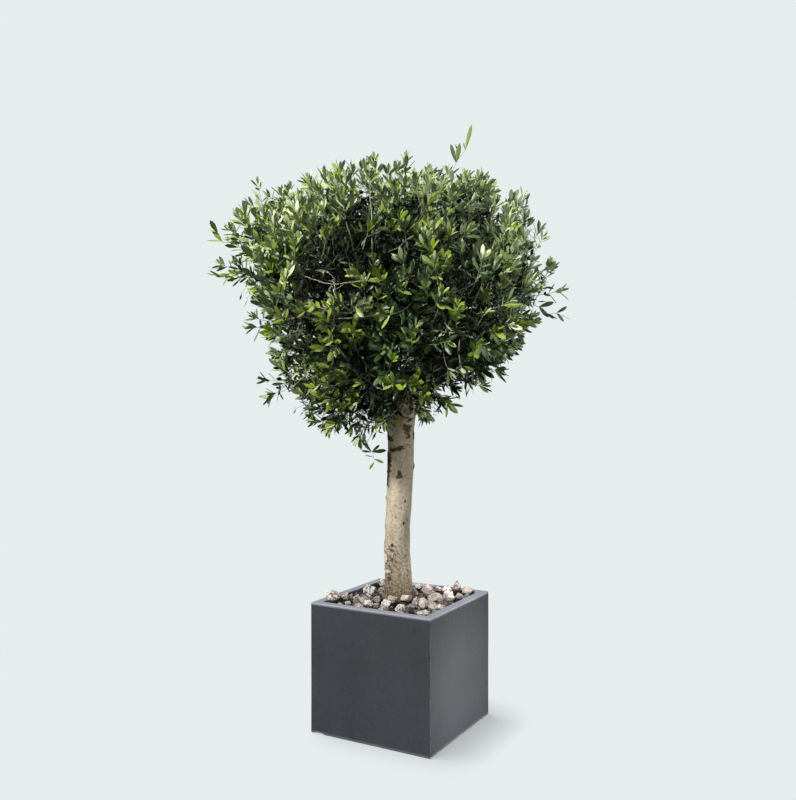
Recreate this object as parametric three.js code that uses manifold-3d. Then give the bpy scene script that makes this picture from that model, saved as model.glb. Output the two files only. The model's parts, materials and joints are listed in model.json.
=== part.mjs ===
// A potted olive tree: a half-standard olive with a rounded, uneven crown on a bare trunk, in a
// square planter whose soil is covered with pumice stones.
//
// Millimetres, +Z up. The origin is the centre of the planter's underside, and the planter's sides
// run along X and Y. The tree stands in a group of its own, turned about Z: there x runs along the
// crown's widest direction, y from its front to its back, and z up from the underside as well.

import * as THREE from "three";
import { ConvexGeometry } from "three/addons/geometries/ConvexGeometry.js";
import { mergeVertices } from "three/addons/utils/BufferGeometryUtils.js";
import Module from "manifold-3d";

const wasm = await Module();
wasm.setup();

const V = (x, y, z) => new THREE.Vector3(x, y, z);

// ---------------------------------------------------------------- driving dimensions

const GAP = 0.4; // between two pieces that touch
const SOCKET = 18; // how far a bough or a spray reaches into the mass that it carries or hangs on

const PLANTER = { side: 500, height: 483, wall: 33, floor: 35, corner: 5 };
const SOIL_TOP = 435;
const TREE_TURN = THREE.MathUtils.degToRad(29.5);

// The trunk's girth from its flat cut at the soil, past the root flare and the waist, to the
// swollen head that the boughs leave.
const TRUNK = {
  sides: 16,
  rings: 16,
  stations: [
    { up: SOIL_TOP + GAP, across: -15, radius: 66 },
    { up: 500, across: -15, radius: 54 },
    { up: 700, across: -19, radius: 48.5 },
    { up: 950, across: -6, radius: 51 },
    { up: 1120, across: -4, radius: 53 },
    { up: 1225, across: -4, radius: 61 },
    { up: 1290, across: -4, radius: 40 },
  ],
};

// The open heart of the crown, where the boughs part. It shapes the masses' inner walls.
const HEART = { at: V(-20, 0, 1440), size: V(225, 225, 235) };

// Masses of foliage: centre and half-sizes.
const MASSES = {
  crown_top: { at: V(-55, 40, 1910), size: V(300, 265, 245) },
  upper_left_mass: { at: V(-312, -20, 1872), size: V(255, 255, 215) },
  upper_right_mass: { at: V(262, -10, 1868), size: V(220, 245, 225) },
  upper_front_mass: { at: V(-45, -290, 1820), size: V(255, 235, 215) },
  upper_back_mass: { at: V(-10, 305, 1825), size: V(260, 235, 210) },
  left_arm_mass: { at: V(-500, 10, 1765), size: V(195, 235, 150) },
  right_arm_mass: { at: V(405, 0, 1680), size: V(172, 235, 200) },
  front_left_mass: { at: V(-275, -335, 1590), size: V(240, 225, 205) },
  front_right_mass: { at: V(190, -350, 1590), size: V(245, 225, 205) },
  back_left_mass: { at: V(-270, 345, 1590), size: V(245, 225, 205) },
  back_right_mass: { at: V(200, 345, 1590), size: V(245, 225, 205) },
  lower_left_mass: { at: V(-335, -20, 1425), size: V(200, 240, 175) },
  lower_right_mass: { at: V(235, 0, 1425), size: V(200, 235, 155) },
  lower_front_mass: { at: V(10, -265, 1325), size: V(240, 200, 160) },
  lower_back_mass: { at: V(-20, 285, 1345), size: V(235, 200, 150) },
  skirt_mass: { at: V(-180, -50, 1220), size: V(170, 160, 125) },
};
const MASS_DETAIL = 3; // subdivisions of the icosahedron behind each mass
const LUMPS = { waves: 5, depth: 0.05 }; // of a mass's surface, as a share of its size

// Boughs: the height at which each leaves the trunk, its radius there, and the mass it carries.
const BOUGHS = {
  leader_bough: { leaves: 1262, radius: 21, carries: "crown_top" },
  upper_left_bough: { leaves: 1232, radius: 17, carries: "upper_left_mass" },
  upper_right_bough: { leaves: 1226, radius: 17, carries: "upper_right_mass" },
  front_left_bough: { leaves: 1218, radius: 16, carries: "front_left_mass" },
  front_right_bough: { leaves: 1222, radius: 16, carries: "front_right_mass" },
  back_left_bough: { leaves: 1220, radius: 16, carries: "back_left_mass" },
  back_right_bough: { leaves: 1216, radius: 16, carries: "back_right_mass" },
  left_bough: { leaves: 1180, radius: 15, carries: "lower_left_mass" },
  right_bough: { leaves: 1184, radius: 15, carries: "lower_right_mass" },
};
const BOUGH = { sides: 7, steps: 7, tip: 0.62, lift: 0.3, outset: 34 };

// Sprays that stand out past the masses: from where each is rooted to its tip, and its girth.
const SPRAYS = {
  top_spray: { mass: "upper_right_mass", tip: V(250, 0, 2284), root: V(222, 0, 2055), radius: 30 },
  left_high_spray: { mass: "left_arm_mass", tip: V(-738, 0, 1884), root: V(-590, 5, 1790), radius: 34 },
  left_low_spray: { mass: "left_arm_mass", tip: V(-728, -40, 1700), root: V(-590, -20, 1712), radius: 34 },
  right_spray: { mass: "right_arm_mass", tip: V(641, 0, 1538), root: V(500, -5, 1590), radius: 26 },
  low_spray: { mass: "skirt_mass", tip: V(-105, -60, 972), root: V(-130, -60, 1130), radius: 42 },
};
const SPRAY = { sides: 7, steps: 6 };

const STONES = { count: 26, smallest: 23, largest: 34, tries: 4000, spacing: 2.5, corners: 16 };

// ---------------------------------------------------------------- chance, seeded

// A repeatable stream of numbers from 0 to 1 for each seed.
function stream(seed) {
  let state = seed >>> 0;
  return () => {
    state = (state + 0x6d2b79f5) >>> 0;
    let mixed = Math.imul(state ^ (state >>> 15), state | 1);
    mixed ^= mixed + Math.imul(mixed ^ (mixed >>> 7), mixed | 61);
    return ((mixed ^ (mixed >>> 14)) >>> 0) / 4294967296;
  };
}

function seedOf(name) {
  return [...name].reduce((sum, letter) => (sum * 31 + letter.charCodeAt(0)) >>> 0, 7);
}

// ---------------------------------------------------------------- solids

function solidOf(geometry) {
  const bare = geometry.clone();
  bare.deleteAttribute("normal");
  bare.deleteAttribute("uv");
  const merged = mergeVertices(bare, 1e-3);
  return new wasm.Manifold(
    new wasm.Mesh({
      numProp: 3,
      vertProperties: merged.attributes.position.array,
      triVerts: new Uint32Array(merged.index.array),
    }),
  );
}

function geometryOf(solid) {
  const mesh = solid.getMesh();
  const geometry = new THREE.BufferGeometry();
  geometry.setAttribute("position", new THREE.BufferAttribute(mesh.vertProperties, 3));
  geometry.setIndex(new THREE.BufferAttribute(mesh.triVerts, 1));
  geometry.computeVertexNormals();
  return geometry;
}

function cutBy(geometry, cutters) {
  const rest = cutters.reduce((left, cutter) => left.subtract(solidOf(cutter)), solidOf(geometry));
  return geometryOf(rest);
}

// Moves each vertex of a geometry to place(vertex), as a new position.
function reshape(geometry, place) {
  const position = geometry.attributes.position;
  const vertex = V(0, 0, 0);
  for (let i = 0; i < position.count; i++) {
    vertex.fromBufferAttribute(position, i);
    const moved = place(vertex);
    position.setXYZ(i, moved.x, moved.y, moved.z);
  }
  geometry.computeVertexNormals();
  return geometry;
}

// A tapering limb along a curve that lies in one upright plane. Its radius is radiusAt(0 to 1), and
// grow makes a fatter and longer copy, to cut the limb's seat with.
function limbGeometry({ curve, radiusAt, sides, steps, grow = 0 }) {
  const chord = curve.getPoint(1).sub(curve.getPoint(0));
  const sideways = V(chord.y, -chord.x, 0);
  if (sideways.length() < 1) sideways.set(0, 1, 0);
  sideways.normalize();
  return reshape(new THREE.CylinderGeometry(1, 1, 1, sides, steps), (vertex) => {
    const along = THREE.MathUtils.clamp(vertex.y + 0.5, 0, 1);
    const tangent = curve.getTangentAt(along);
    const outward = sideways.clone().cross(tangent);
    const radius = radiusAt(along) + grow;
    const longer = along === 0 ? -grow : along === 1 ? grow : 0;
    return curve
      .getPointAt(along)
      .addScaledVector(sideways, vertex.x * radius)
      .addScaledVector(outward, vertex.z * radius)
      .addScaledVector(tangent, longer);
  });
}

// ---------------------------------------------------------------- planter, soil and stones

function roundedSquare(side, corner) {
  const half = side / 2;
  const inner = half - corner;
  const quarter = Math.PI / 2;
  const shape = new THREE.Shape();
  shape.absarc(inner, inner, corner, 0, quarter);
  shape.absarc(-inner, inner, corner, quarter, 2 * quarter);
  shape.absarc(-inner, -inner, corner, 2 * quarter, 3 * quarter);
  shape.absarc(inner, -inner, corner, 3 * quarter, 4 * quarter);
  return shape;
}

function squareBlock(side, corner, bottom, top) {
  const settings = { depth: top - bottom, bevelEnabled: false, curveSegments: 3 };
  return new THREE.ExtrudeGeometry(roundedSquare(side, corner), settings).translate(0, 0, bottom);
}

const cavitySide = PLANTER.side - 2 * PLANTER.wall;

function planterGeometry() {
  const body = squareBlock(PLANTER.side, PLANTER.corner, 0, PLANTER.height);
  const cavity = squareBlock(cavitySide, PLANTER.corner, PLANTER.floor, PLANTER.height + 10);
  return cutBy(body, [cavity]);
}

function rootBallGeometry() {
  return squareBlock(cavitySide - 2 * GAP, PLANTER.corner, PLANTER.floor + GAP, SOIL_TOP);
}

// Places for the stones on the soil, the largest first, clear of the walls, the trunk and each other.
function stonePlaces() {
  const chance = stream(11);
  const foot = V(TRUNK.stations[0].across, 0, 0).applyAxisAngle(V(0, 0, 1), TREE_TURN);
  const places = [];
  for (let n = 0; n < STONES.count; n++) {
    const radius = THREE.MathUtils.lerp(STONES.largest, STONES.smallest, n / (STONES.count - 1));
    const free = cavitySide / 2 - radius - STONES.spacing;
    for (let attempt = 0; attempt < STONES.tries; attempt++) {
      const at = V((2 * chance() - 1) * free, (2 * chance() - 1) * free, SOIL_TOP + GAP);
      const trunkRoom = TRUNK.stations[0].radius * 1.12 + radius + STONES.spacing;
      const offTrunk = Math.hypot(at.x - foot.x, at.y - foot.y) > trunkRoom;
      const offOthers = places.every(
        (other) => at.distanceTo(other.at) > radius + other.radius + STONES.spacing,
      );
      if (offTrunk && offOthers) {
        places.push({ at, radius });
        break;
      }
    }
  }
  return places;
}

// An angular, rounded stone with a flat foot, within the radius all round.
function stoneGeometry(radius, chance) {
  const width = radius * (0.78 + 0.22 * chance());
  const height = radius * (1.25 + 0.45 * chance());
  const turn = chance() * Math.PI;
  const golden = Math.PI * (3 - Math.sqrt(5));
  const corners = [];
  for (let i = 0; i < STONES.corners; i++) {
    const level = 1 - (2 * (i + 0.5)) / STONES.corners;
    const round = Math.sqrt(1 - level * level);
    const angle = i * golden + 0.5 * chance();
    const corner = V(round * Math.cos(angle) * radius, round * Math.sin(angle) * width, 0);
    corner.applyAxisAngle(V(0, 0, 1), turn).multiplyScalar(0.86 + 0.14 * chance());
    corner.z = Math.max(0, height * (0.42 + 0.58 * level));
    corners.push(corner);
  }
  return new ConvexGeometry(corners);
}

// ---------------------------------------------------------------- trunk and boughs

const trunkAxis = new THREE.CatmullRomCurve3(TRUNK.stations.map((s) => V(s.across, 0, s.up)));
const trunkGirth = new THREE.SplineCurve(
  TRUNK.stations.map((s) => new THREE.Vector2(s.up, s.radius)),
);

function trunkGeometry(grow = 0) {
  const cylinder = new THREE.CylinderGeometry(1, 1, 1, TRUNK.sides, TRUNK.rings);
  return reshape(cylinder, (vertex) => {
    const along = THREE.MathUtils.clamp(vertex.y + 0.5, 0, 1);
    const angle = Math.atan2(vertex.z, vertex.x);
    const flutes = 0.035 * Math.cos(2 * angle + 5 * along) + 0.025 * Math.cos(3 * angle - 4 * along);
    const roots = 0.07 * (1 - along) ** 8 * Math.cos(5 * angle);
    const radius = trunkGirth.getPoint(along).y * (1 + flutes + roots) + grow;
    const place = trunkAxis.getPoint(along);
    place.x += vertex.x * radius;
    place.y -= vertex.z * radius;
    place.z += along === 1 ? grow : along === 0 ? -grow : 0;
    return place;
  });
}

function trunkAxisAt(up) {
  const first = TRUNK.stations.findIndex((station) => station.up > up) - 1;
  const low = TRUNK.stations[first];
  const high = TRUNK.stations[first + 1];
  return V(THREE.MathUtils.mapLinear(up, low.up, high.up, low.across, high.across), 0, up);
}

// A bough rises from inside the trunk's head, leans out and enters the inner wall of its mass.
function boughGeometry(name, grow = 0) {
  const { leaves, radius, carries } = BOUGHS[name];
  const mass = MASSES[carries];
  const inward = HEART.at.clone().sub(mass.at).normalize();
  const entry = reachOf(carries, inward) - SOCKET;
  const end = mass.at.clone().addScaledVector(inward, entry);
  const start = trunkAxisAt(leaves);
  const spread = V(end.x - start.x, end.y - start.y, 0);
  start.addScaledVector(spread.clone().normalize(), Math.min(BOUGH.outset, spread.length() / 3));
  const rise = V(0, 0, (end.z - start.z) * BOUGH.lift);
  const bend = start.clone().addScaledVector(spread, 0.62).add(rise);
  return limbGeometry({
    curve: new THREE.QuadraticBezierCurve3(start, bend, end),
    radiusAt: (along) => radius * THREE.MathUtils.lerp(1.15, BOUGH.tip, along ** 0.7),
    sides: BOUGH.sides,
    steps: BOUGH.steps,
    grow,
  });
}

// ---------------------------------------------------------------- foliage

const meanSize = (size) => (size.x + size.y + size.z) / 3;

// The flat walls that part a mass from its neighbours and from the heart: where both would reach
// equally far for their sizes, less half the gap.
function wallsOf(name) {
  const { at, size } = MASSES[name];
  const others = Object.keys(MASSES).filter((other) => other !== name).map((other) => MASSES[other]);
  return [...others, HEART].map((other) => {
    const normal = other.at.clone().sub(at);
    const apart = normal.length();
    const reach = (apart ** 2 + meanSize(size) ** 2 - meanSize(other.size) ** 2) / (2 * apart);
    return { normal: normal.divideScalar(apart), reach: reach - GAP / 2 };
  });
}

// The waves that make a mass's surface uneven, different for each mass.
function lumpsOf(name) {
  const chance = stream(seedOf(name));
  const signed = () => 2 * chance() - 1;
  return Array.from({ length: LUMPS.waves }, (_, n) => ({
    across: V(signed(), signed(), signed()).normalize().multiplyScalar(2.2 + 1.3 * n),
    phase: chance() * 2 * Math.PI,
  }));
}

const shapes = Object.fromEntries(
  Object.keys(MASSES).map((name) => [name, { walls: wallsOf(name), lumps: lumpsOf(name) }]),
);

// How far a mass reaches from its centre in one direction.
function reachOf(name, direction) {
  const { size } = MASSES[name];
  const { walls, lumps } = shapes[name];
  const smooth = 1 / Math.hypot(direction.x / size.x, direction.y / size.y, direction.z / size.z);
  const uneven = lumps.reduce(
    (sum, wave) => sum + LUMPS.depth * Math.cos(wave.across.dot(direction) + wave.phase),
    1,
  );
  return walls.reduce((reach, wall) => {
    const facing = wall.normal.dot(direction);
    return facing > 0 ? Math.min(reach, wall.reach / facing) : reach;
  }, smooth * uneven);
}

function massGeometry(name) {
  const ball = new THREE.IcosahedronGeometry(1, MASS_DETAIL);
  const whole = reshape(ball, (vertex) => {
    const direction = vertex.clone().normalize();
    return direction.clone().multiplyScalar(reachOf(name, direction)).add(MASSES[name].at);
  });
  const boughs = Object.keys(BOUGHS).map((bough) => boughGeometry(bough, GAP));
  const sprays = Object.keys(SPRAYS).map((spray) => sprayGeometry(spray, GAP));
  return cutBy(whole, [trunkGeometry(GAP), ...boughs, ...sprays]);
}

// A slim, pointed spray that stands on a mass.
function sprayGeometry(name, grow = 0) {
  const { root, tip, radius } = SPRAYS[name];
  const bend = root.clone().lerp(tip, 0.5).add(V(0, 0, root.distanceTo(tip) * 0.06));
  return limbGeometry({
    curve: new THREE.QuadraticBezierCurve3(root, bend, tip),
    radiusAt: (along) => 3 + radius * Math.sin(Math.PI * (0.12 + 0.88 * along)) ** 0.8,
    sides: SPRAY.sides,
    steps: SPRAY.steps,
    grow,
  });
}

// ---------------------------------------------------------------- materials

function finish(color, roughness) {
  return new THREE.MeshStandardMaterial({ color, roughness, metalness: 0 });
}

const materials = {
  planter: finish(0x44474d, 0.6),
  soil: finish(0x2b221b, 0.95),
  stone: finish(0xb5aca4, 0.9),
  bark: finish(0x9c8f78, 0.85),
  bough: finish(0x7d715c, 0.85),
  leaf: finish(0x55663a, 0.6),
};

// ---------------------------------------------------------------- assembly

function piece(name, geometry, material) {
  const mesh = new THREE.Mesh(geometry, material);
  mesh.name = name;
  return mesh;
}

const pottedOlive = new THREE.Group();
pottedOlive.add(piece("planter", planterGeometry(), materials.planter));
pottedOlive.add(piece("root_ball", rootBallGeometry(), materials.soil));

stonePlaces().forEach(({ at, radius }, n) => {
  const number = String(n + 1).padStart(2, "0");
  const stone = piece(`stone_${number}`, stoneGeometry(radius, stream(100 + n)), materials.stone);
  stone.position.copy(at);
  pottedOlive.add(stone);
});

const tree = new THREE.Group();
tree.rotation.z = TREE_TURN;
pottedOlive.add(tree);

tree.add(piece("trunk", trunkGeometry(), materials.bark));
for (const name of Object.keys(BOUGHS)) {
  tree.add(piece(name, cutBy(boughGeometry(name), [trunkGeometry(GAP)]), materials.bough));
}
for (const name of Object.keys(MASSES)) {
  tree.add(piece(name, massGeometry(name), materials.leaf));
}
for (const name of Object.keys(SPRAYS)) {
  tree.add(piece(name, sprayGeometry(name), materials.leaf));
}

export default pottedOlive;
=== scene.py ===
import json
import math

import bmesh
import bpy
import numpy as np
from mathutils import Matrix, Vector, noise
from mathutils.bvhtree import BVHTree
from mathutils.kdtree import KDTree

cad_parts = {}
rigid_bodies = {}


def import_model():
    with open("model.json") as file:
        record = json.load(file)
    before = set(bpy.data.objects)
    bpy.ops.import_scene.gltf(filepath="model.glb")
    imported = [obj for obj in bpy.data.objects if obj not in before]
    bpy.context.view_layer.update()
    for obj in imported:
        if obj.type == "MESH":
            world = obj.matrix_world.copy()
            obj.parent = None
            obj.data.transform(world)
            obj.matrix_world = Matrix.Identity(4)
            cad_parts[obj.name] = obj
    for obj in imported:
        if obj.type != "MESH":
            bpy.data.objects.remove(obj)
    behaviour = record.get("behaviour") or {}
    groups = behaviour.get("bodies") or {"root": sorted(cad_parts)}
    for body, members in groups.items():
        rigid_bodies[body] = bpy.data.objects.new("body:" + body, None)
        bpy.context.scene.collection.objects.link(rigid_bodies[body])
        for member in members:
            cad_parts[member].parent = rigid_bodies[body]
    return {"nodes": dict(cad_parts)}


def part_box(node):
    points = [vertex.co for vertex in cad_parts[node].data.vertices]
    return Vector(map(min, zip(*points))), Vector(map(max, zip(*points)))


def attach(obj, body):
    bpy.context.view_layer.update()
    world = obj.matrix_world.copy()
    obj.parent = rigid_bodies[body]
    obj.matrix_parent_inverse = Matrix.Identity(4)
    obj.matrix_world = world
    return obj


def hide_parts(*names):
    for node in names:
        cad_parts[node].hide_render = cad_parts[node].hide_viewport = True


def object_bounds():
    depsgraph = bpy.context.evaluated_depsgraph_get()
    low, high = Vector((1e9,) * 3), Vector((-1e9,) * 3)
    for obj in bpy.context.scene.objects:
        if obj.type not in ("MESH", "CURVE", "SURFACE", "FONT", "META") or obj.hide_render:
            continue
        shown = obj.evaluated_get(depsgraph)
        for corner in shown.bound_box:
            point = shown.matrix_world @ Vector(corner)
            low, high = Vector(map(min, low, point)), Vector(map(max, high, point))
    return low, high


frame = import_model()
cad_low, cad_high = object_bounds()

# A potted olive tree, in metres, in the frame of its CAD model: planter square to X and Y, +Z up.
# The tree is described in a frame of its own, turned about Z: across (to the right of the main
# view), deep (away from the viewer) and up. Boughs, twigs and leaves grow by a seeded rule into
# the space that the CAD masses hold.

UP = np.array([0.0, 0.0, 1.0])
TREE_TURN = math.radians(29.5)
ACROSS = np.array([math.cos(TREE_TURN), math.sin(TREE_TURN), 0.0])
DEEP = np.array([-math.sin(TREE_TURN), math.cos(TREE_TURN), 0.0])

NODES = sorted(frame["nodes"])
MASSES = [name for name in NODES if name.endswith("_mass") or name == "crown_top"]
SPRAYS = [name for name in NODES if name.endswith("_spray")]
BOUGHS = [name for name in NODES if name.endswith("_bough")]
STONES = [name for name in NODES if name.startswith("stone_")]


def tree_point(across, deep, up):
    return ACROSS * across + DEEP * deep + UP * up


def unit(vectors):
    length = np.linalg.norm(vectors, axis=-1, keepdims=True)
    return vectors / np.maximum(length, 1e-9)


def smoothstep(low, high, value):
    share = np.clip((value - low) / (high - low), 0.0, 1.0)
    return share * share * (3.0 - 2.0 * share)


def bell(value, width=1.0):
    return np.exp(-((value / width) ** 2))


def total(rows, value):
    """The sum of amounts that each set in from one value to another."""
    return sum(amount * smoothstep(start, end, value) for amount, start, end in rows)


# ------------------------------------------------------------------ materials


def srgb(red, green, blue):
    """A linear colour from sRGB values of 0 to 255."""

    def linear(value):
        value = value / 255.0
        return value / 12.92 if value <= 0.04045 else ((value + 0.055) / 1.055) ** 2.4

    return (linear(red), linear(green), linear(blue), 1.0)


class Finish:
    """A Principled material with short names for the nodes that shape its pattern."""

    def __init__(self, name, color, roughness, specular=0.5):
        self.material = bpy.data.materials.new(name)
        self.material.use_nodes = True
        self.nodes = self.material.node_tree.nodes
        self.links = self.material.node_tree.links
        self.shader = self.nodes["Principled BSDF"]
        self.shader.inputs["Base Color"].default_value = color
        self.shader.inputs["Roughness"].default_value = roughness
        self.shader.inputs["Specular IOR Level"].default_value = specular
        self.material.diffuse_color = color

    def node(self, kind, **values):
        made = self.nodes.new(kind)
        for key, value in values.items():
            setattr(made, key, value)
        return made

    def fill(self, sockets, values):
        """Links each socket to a value that comes from a node, or sets it."""
        for socket, value in zip(sockets, values):
            if isinstance(value, bpy.types.NodeSocket):
                self.links.new(value, socket)
            else:
                socket.default_value = value

    def texture(self, kind, vector, **values):
        made = self.node(kind)
        for key, value in values.items():
            made.inputs[key].default_value = value
        place = vector or self.node("ShaderNodeTexCoord").outputs["Object"]
        self.links.new(place, made.inputs["Vector"])
        return made.outputs

    def noise(self, scale, detail=4.0, roughness=0.55, vector=None):
        made = self.texture("ShaderNodeTexNoise", vector, Scale=scale, Detail=detail, Roughness=roughness)
        return made["Fac"]

    def cells(self, scale, vector=None):
        return self.texture("ShaderNodeTexVoronoi", vector, Scale=scale)["Distance"]

    def stretched(self, x, y, z):
        return self.texture("ShaderNodeMapping", None, Scale=(x, y, z))["Vector"]

    def attribute(self, name):
        return self.node("ShaderNodeAttribute", attribute_name=name).outputs["Fac"]

    def ramp(self, value, stops):
        """stops are (position, colour or grey level)."""
        made = self.node("ShaderNodeValToRGB")
        elements = made.color_ramp.elements
        while len(elements) < len(stops):
            elements.new(0.5)
        for element, (position, color) in zip(elements, stops):
            element.position = position
            element.color = color if isinstance(color, tuple) else (color, color, color, 1.0)
        self.links.new(value, made.inputs["Fac"])
        return made.outputs["Color"]

    def rise(self, value, low, high):
        """0 where a value is under low, 1 where it is over high."""
        return self.ramp(value, ((low, 0.0), (high, 1.0)))

    def fall(self, value, low, high):
        return self.ramp(value, ((low, 1.0), (high, 0.0)))

    def math(self, operation, first, second):
        made = self.node("ShaderNodeMath", operation=operation)
        self.fill(made.inputs, (first, second))
        return made.outputs[0]

    def times(self, first, second):
        return self.math("MULTIPLY", first, second)

    def mix(self, factor, first, second):
        made = self.node("ShaderNodeMix", data_type="RGBA", blend_type="MIX")
        self.fill((made.inputs[0], made.inputs[6], made.inputs[7]), (factor, first, second))
        return made.outputs[2]

    def tint(self, color, mask, amount, tone):
        return self.mix(self.times(mask, amount), color, tone)

    def blend(self, pattern, low, high, first, second):
        return self.mix(self.rise(pattern, low, high), first, second)

    def mottle(self, color, pattern, low, high, amount, tone):
        """Tints a colour where a pattern is high."""
        return self.tint(color, self.rise(pattern, low, high), amount, tone)

    def dots(self, scale, vector, low, high, *where):
        """Small round marks, kept only where the masks let them be."""
        made = self.fall(self.cells(scale, vector), low, high)
        for mask in where:
            made = self.times(made, mask)
        return made

    def color(self, value):
        self.links.new(value, self.shader.inputs["Base Color"])

    def roughness(self, value):
        self.links.new(value, self.shader.inputs["Roughness"])

    def bump(self, height, distance, strength=1.0):
        made = self.node("ShaderNodeBump")
        self.fill((made.inputs["Strength"], made.inputs["Distance"]), (strength, distance))
        self.links.new(height, made.inputs["Height"])
        self.links.new(made.outputs["Normal"], self.shader.inputs["Normal"])


# ------------------------------------------------------------------ meshes


def mesh_object(name, vertices, faces, materials, slots=None):
    """A smooth object from arrays. faces is one array of triangles or quads, or a list of both."""
    blocks = faces if isinstance(faces, list) else [faces]
    mesh = bpy.data.meshes.new(name)
    places = np.asarray(vertices, np.float32).tolist()
    mesh.from_pydata(places, [], [face for block in blocks for face in np.asarray(block).tolist()])
    mesh.polygons.foreach_set("use_smooth", np.full(len(mesh.polygons), True))
    for material in materials:
        mesh.materials.append(material)
    if slots is not None:
        mesh.polygons.foreach_set("material_index", np.asarray(slots, np.int32))
    mesh.update(calc_edges=True)
    mesh.validate()
    made = bpy.data.objects.new(name, mesh)
    bpy.context.scene.collection.objects.link(made)
    return made


def band(low, high, count):
    """Quads between two rings of a mesh, each given by its first vertex."""
    ring = np.arange(count)
    following = (ring + 1) % count
    return np.stack([low + ring, low + following, high + following, high + ring], 1)


def fan(first, tip, count, turned=False):
    """Triangles from a ring to one vertex."""
    ring = np.arange(count)
    following = (ring + 1) % count
    pair = (following, ring) if turned else (ring, following)
    return np.stack([first + pair[0], first + pair[1], np.full(count, tip)], 1)


def sleeve(first, rings, count):
    """Quads that join rings of a mesh, each to the next."""
    lows = [first + k * count for k in range(rings - 1)]
    return np.concatenate([band(low, low + count, count) for low in lows])


def add_attribute(piece, name, values):
    layer = piece.data.attributes.new(name, "FLOAT", "POINT")
    layer.data.foreach_set("value", np.asarray(values, np.float32))


def on_tree(piece, slot, *replaced):
    """Every piece rides on the one body and may replace CAD nodes. The slot argument is not used."""
    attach(piece, "root")
    if replaced:
        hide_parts(*replaced)
    return piece


# ------------------------------------------------------------------ stage, light and camera

STUDIO = srgb(230, 237, 237)
CAMERA_PLACE = (1.647, -2.945, 1.256)
CAMERA_HEADING = math.radians(29.49)
CAMERA_TILT = math.radians(-0.38)
CAMERA_LENS = 39.82
STAGE_RADIUS = 30.0
FLOOR_SIDES = 96
FLOOR_RINGS = (0.05, 0.2, 1.0)  # shares of the floor's radius


def make_camera():
    data = bpy.data.cameras.new("camera")
    data.lens = CAMERA_LENS
    data.sensor_width = 36.0
    data.clip_end = 200.0
    camera = bpy.data.objects.new("camera", data)
    camera.location = CAMERA_PLACE
    camera.rotation_euler = (math.pi / 2 + CAMERA_TILT, 0.0, CAMERA_HEADING)
    bpy.context.scene.collection.objects.link(camera)
    bpy.context.scene.camera = camera


CONTACT_REACH = 0.20  # how far from the planter its shadow on the floor shows
CONTACT_LEAN = (-0.72, -0.30, 0.62)  # the side of a floor point from which it is shaded
CONTACT_LEVELS = (0.25, 0.95, 0.50, 1.0)  # openness from and to, and the floor's brightness there


def map_range(nodes, links, value, levels):
    made = nodes.new("ShaderNodeMapRange")
    for socket, level in zip(("From Min", "From Max", "To Min", "To Max"), levels):
        made.inputs[socket].default_value = level
    links.new(value, made.inputs["Value"])
    return made.outputs["Result"]


def stage_material(name, shaded):
    """The studio's even pale tone. Next to what stands on it, an occlusion mask dims the floor's glow: a
    painted contact shadow.
    """
    material = bpy.data.materials.new(name)
    material.use_nodes = True
    nodes, links = material.node_tree.nodes, material.node_tree.links
    nodes.clear()
    glow = nodes.new("ShaderNodeEmission")
    glow.inputs["Color"].default_value = STUDIO
    out = nodes.new("ShaderNodeOutputMaterial")
    links.new(glow.outputs[0], out.inputs["Surface"])
    if shaded:
        contact = nodes.new("ShaderNodeAmbientOcclusion")
        contact.samples = 16
        contact.inputs["Distance"].default_value = CONTACT_REACH
        lean = nodes.new("ShaderNodeCombineXYZ")
        for socket, value in zip(lean.inputs, CONTACT_LEAN):
            socket.default_value = value
        links.new(lean.outputs[0], contact.inputs["Normal"])
        links.new(map_range(nodes, links, contact.outputs["AO"], CONTACT_LEVELS), glow.inputs["Strength"])
    return material


def make_stage():
    sphere = bmesh.new()
    bmesh.ops.create_uvsphere(sphere, u_segments=64, v_segments=32, radius=STAGE_RADIUS)
    mesh = bpy.data.meshes.new("backdrop")
    sphere.to_mesh(mesh)
    sphere.free()
    mesh.materials.append(stage_material("backdrop", False))
    backdrop = bpy.data.objects.new("backdrop", mesh)
    bpy.context.scene.collection.objects.link(backdrop)
    angles = np.linspace(0.0, 2.0 * math.pi, FLOOR_SIDES + 1)[:-1]
    vertices = [(0.0, 0.0, 0.0)]
    for share in FLOOR_RINGS:
        radius = STAGE_RADIUS * 0.98 * share
        vertices += [(radius * math.cos(a), radius * math.sin(a), 0.0) for a in angles]
    starts = 1 + FLOOR_SIDES * np.arange(len(FLOOR_RINGS))
    middle = fan(1, 0, FLOOR_SIDES)[:, [2, 0, 1]]
    outer = np.concatenate([
        band(start, start + FLOOR_SIDES, FLOOR_SIDES)[:, [0, 3, 2, 1]] for start in starts[:-1]
    ])
    floor = mesh_object("floor", vertices, [middle, outer], [stage_material("floor", True)])
    for piece in (floor, backdrop):
        piece.visible_diffuse = False
        piece.visible_glossy = False
        piece.visible_transmission = False
        piece.visible_shadow = False


SKY_TONE = (0.86, 0.94, 1.0, 1.0)
SKY_LEVELS = (-0.35, 0.75, 0.025, 0.72)  # height from and to, and the sky's brightness there
KEY_TONE = (1.0, 0.97, 0.90)
KEY_ANGLE = math.radians(7.0)
NEAR_WHITE = (1.0, 0.96, 0.92)
WARM = (1.0, 0.95, 0.88)
WARMER = (1.0, 0.95, 0.86)
STONES_LAMP = tree_point(1.9, -1.6, 2.2)
SOFT_BOX = {"shape": "RECTANGLE", "size": 1.6, "size_y": 1.6}


def spot(cone, blend, soft):
    """The settings of a spot lamp, its cone in degrees."""
    return {"spot_size": math.radians(cone), "spot_blend": blend, "shadow_soft_size": soft}


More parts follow.
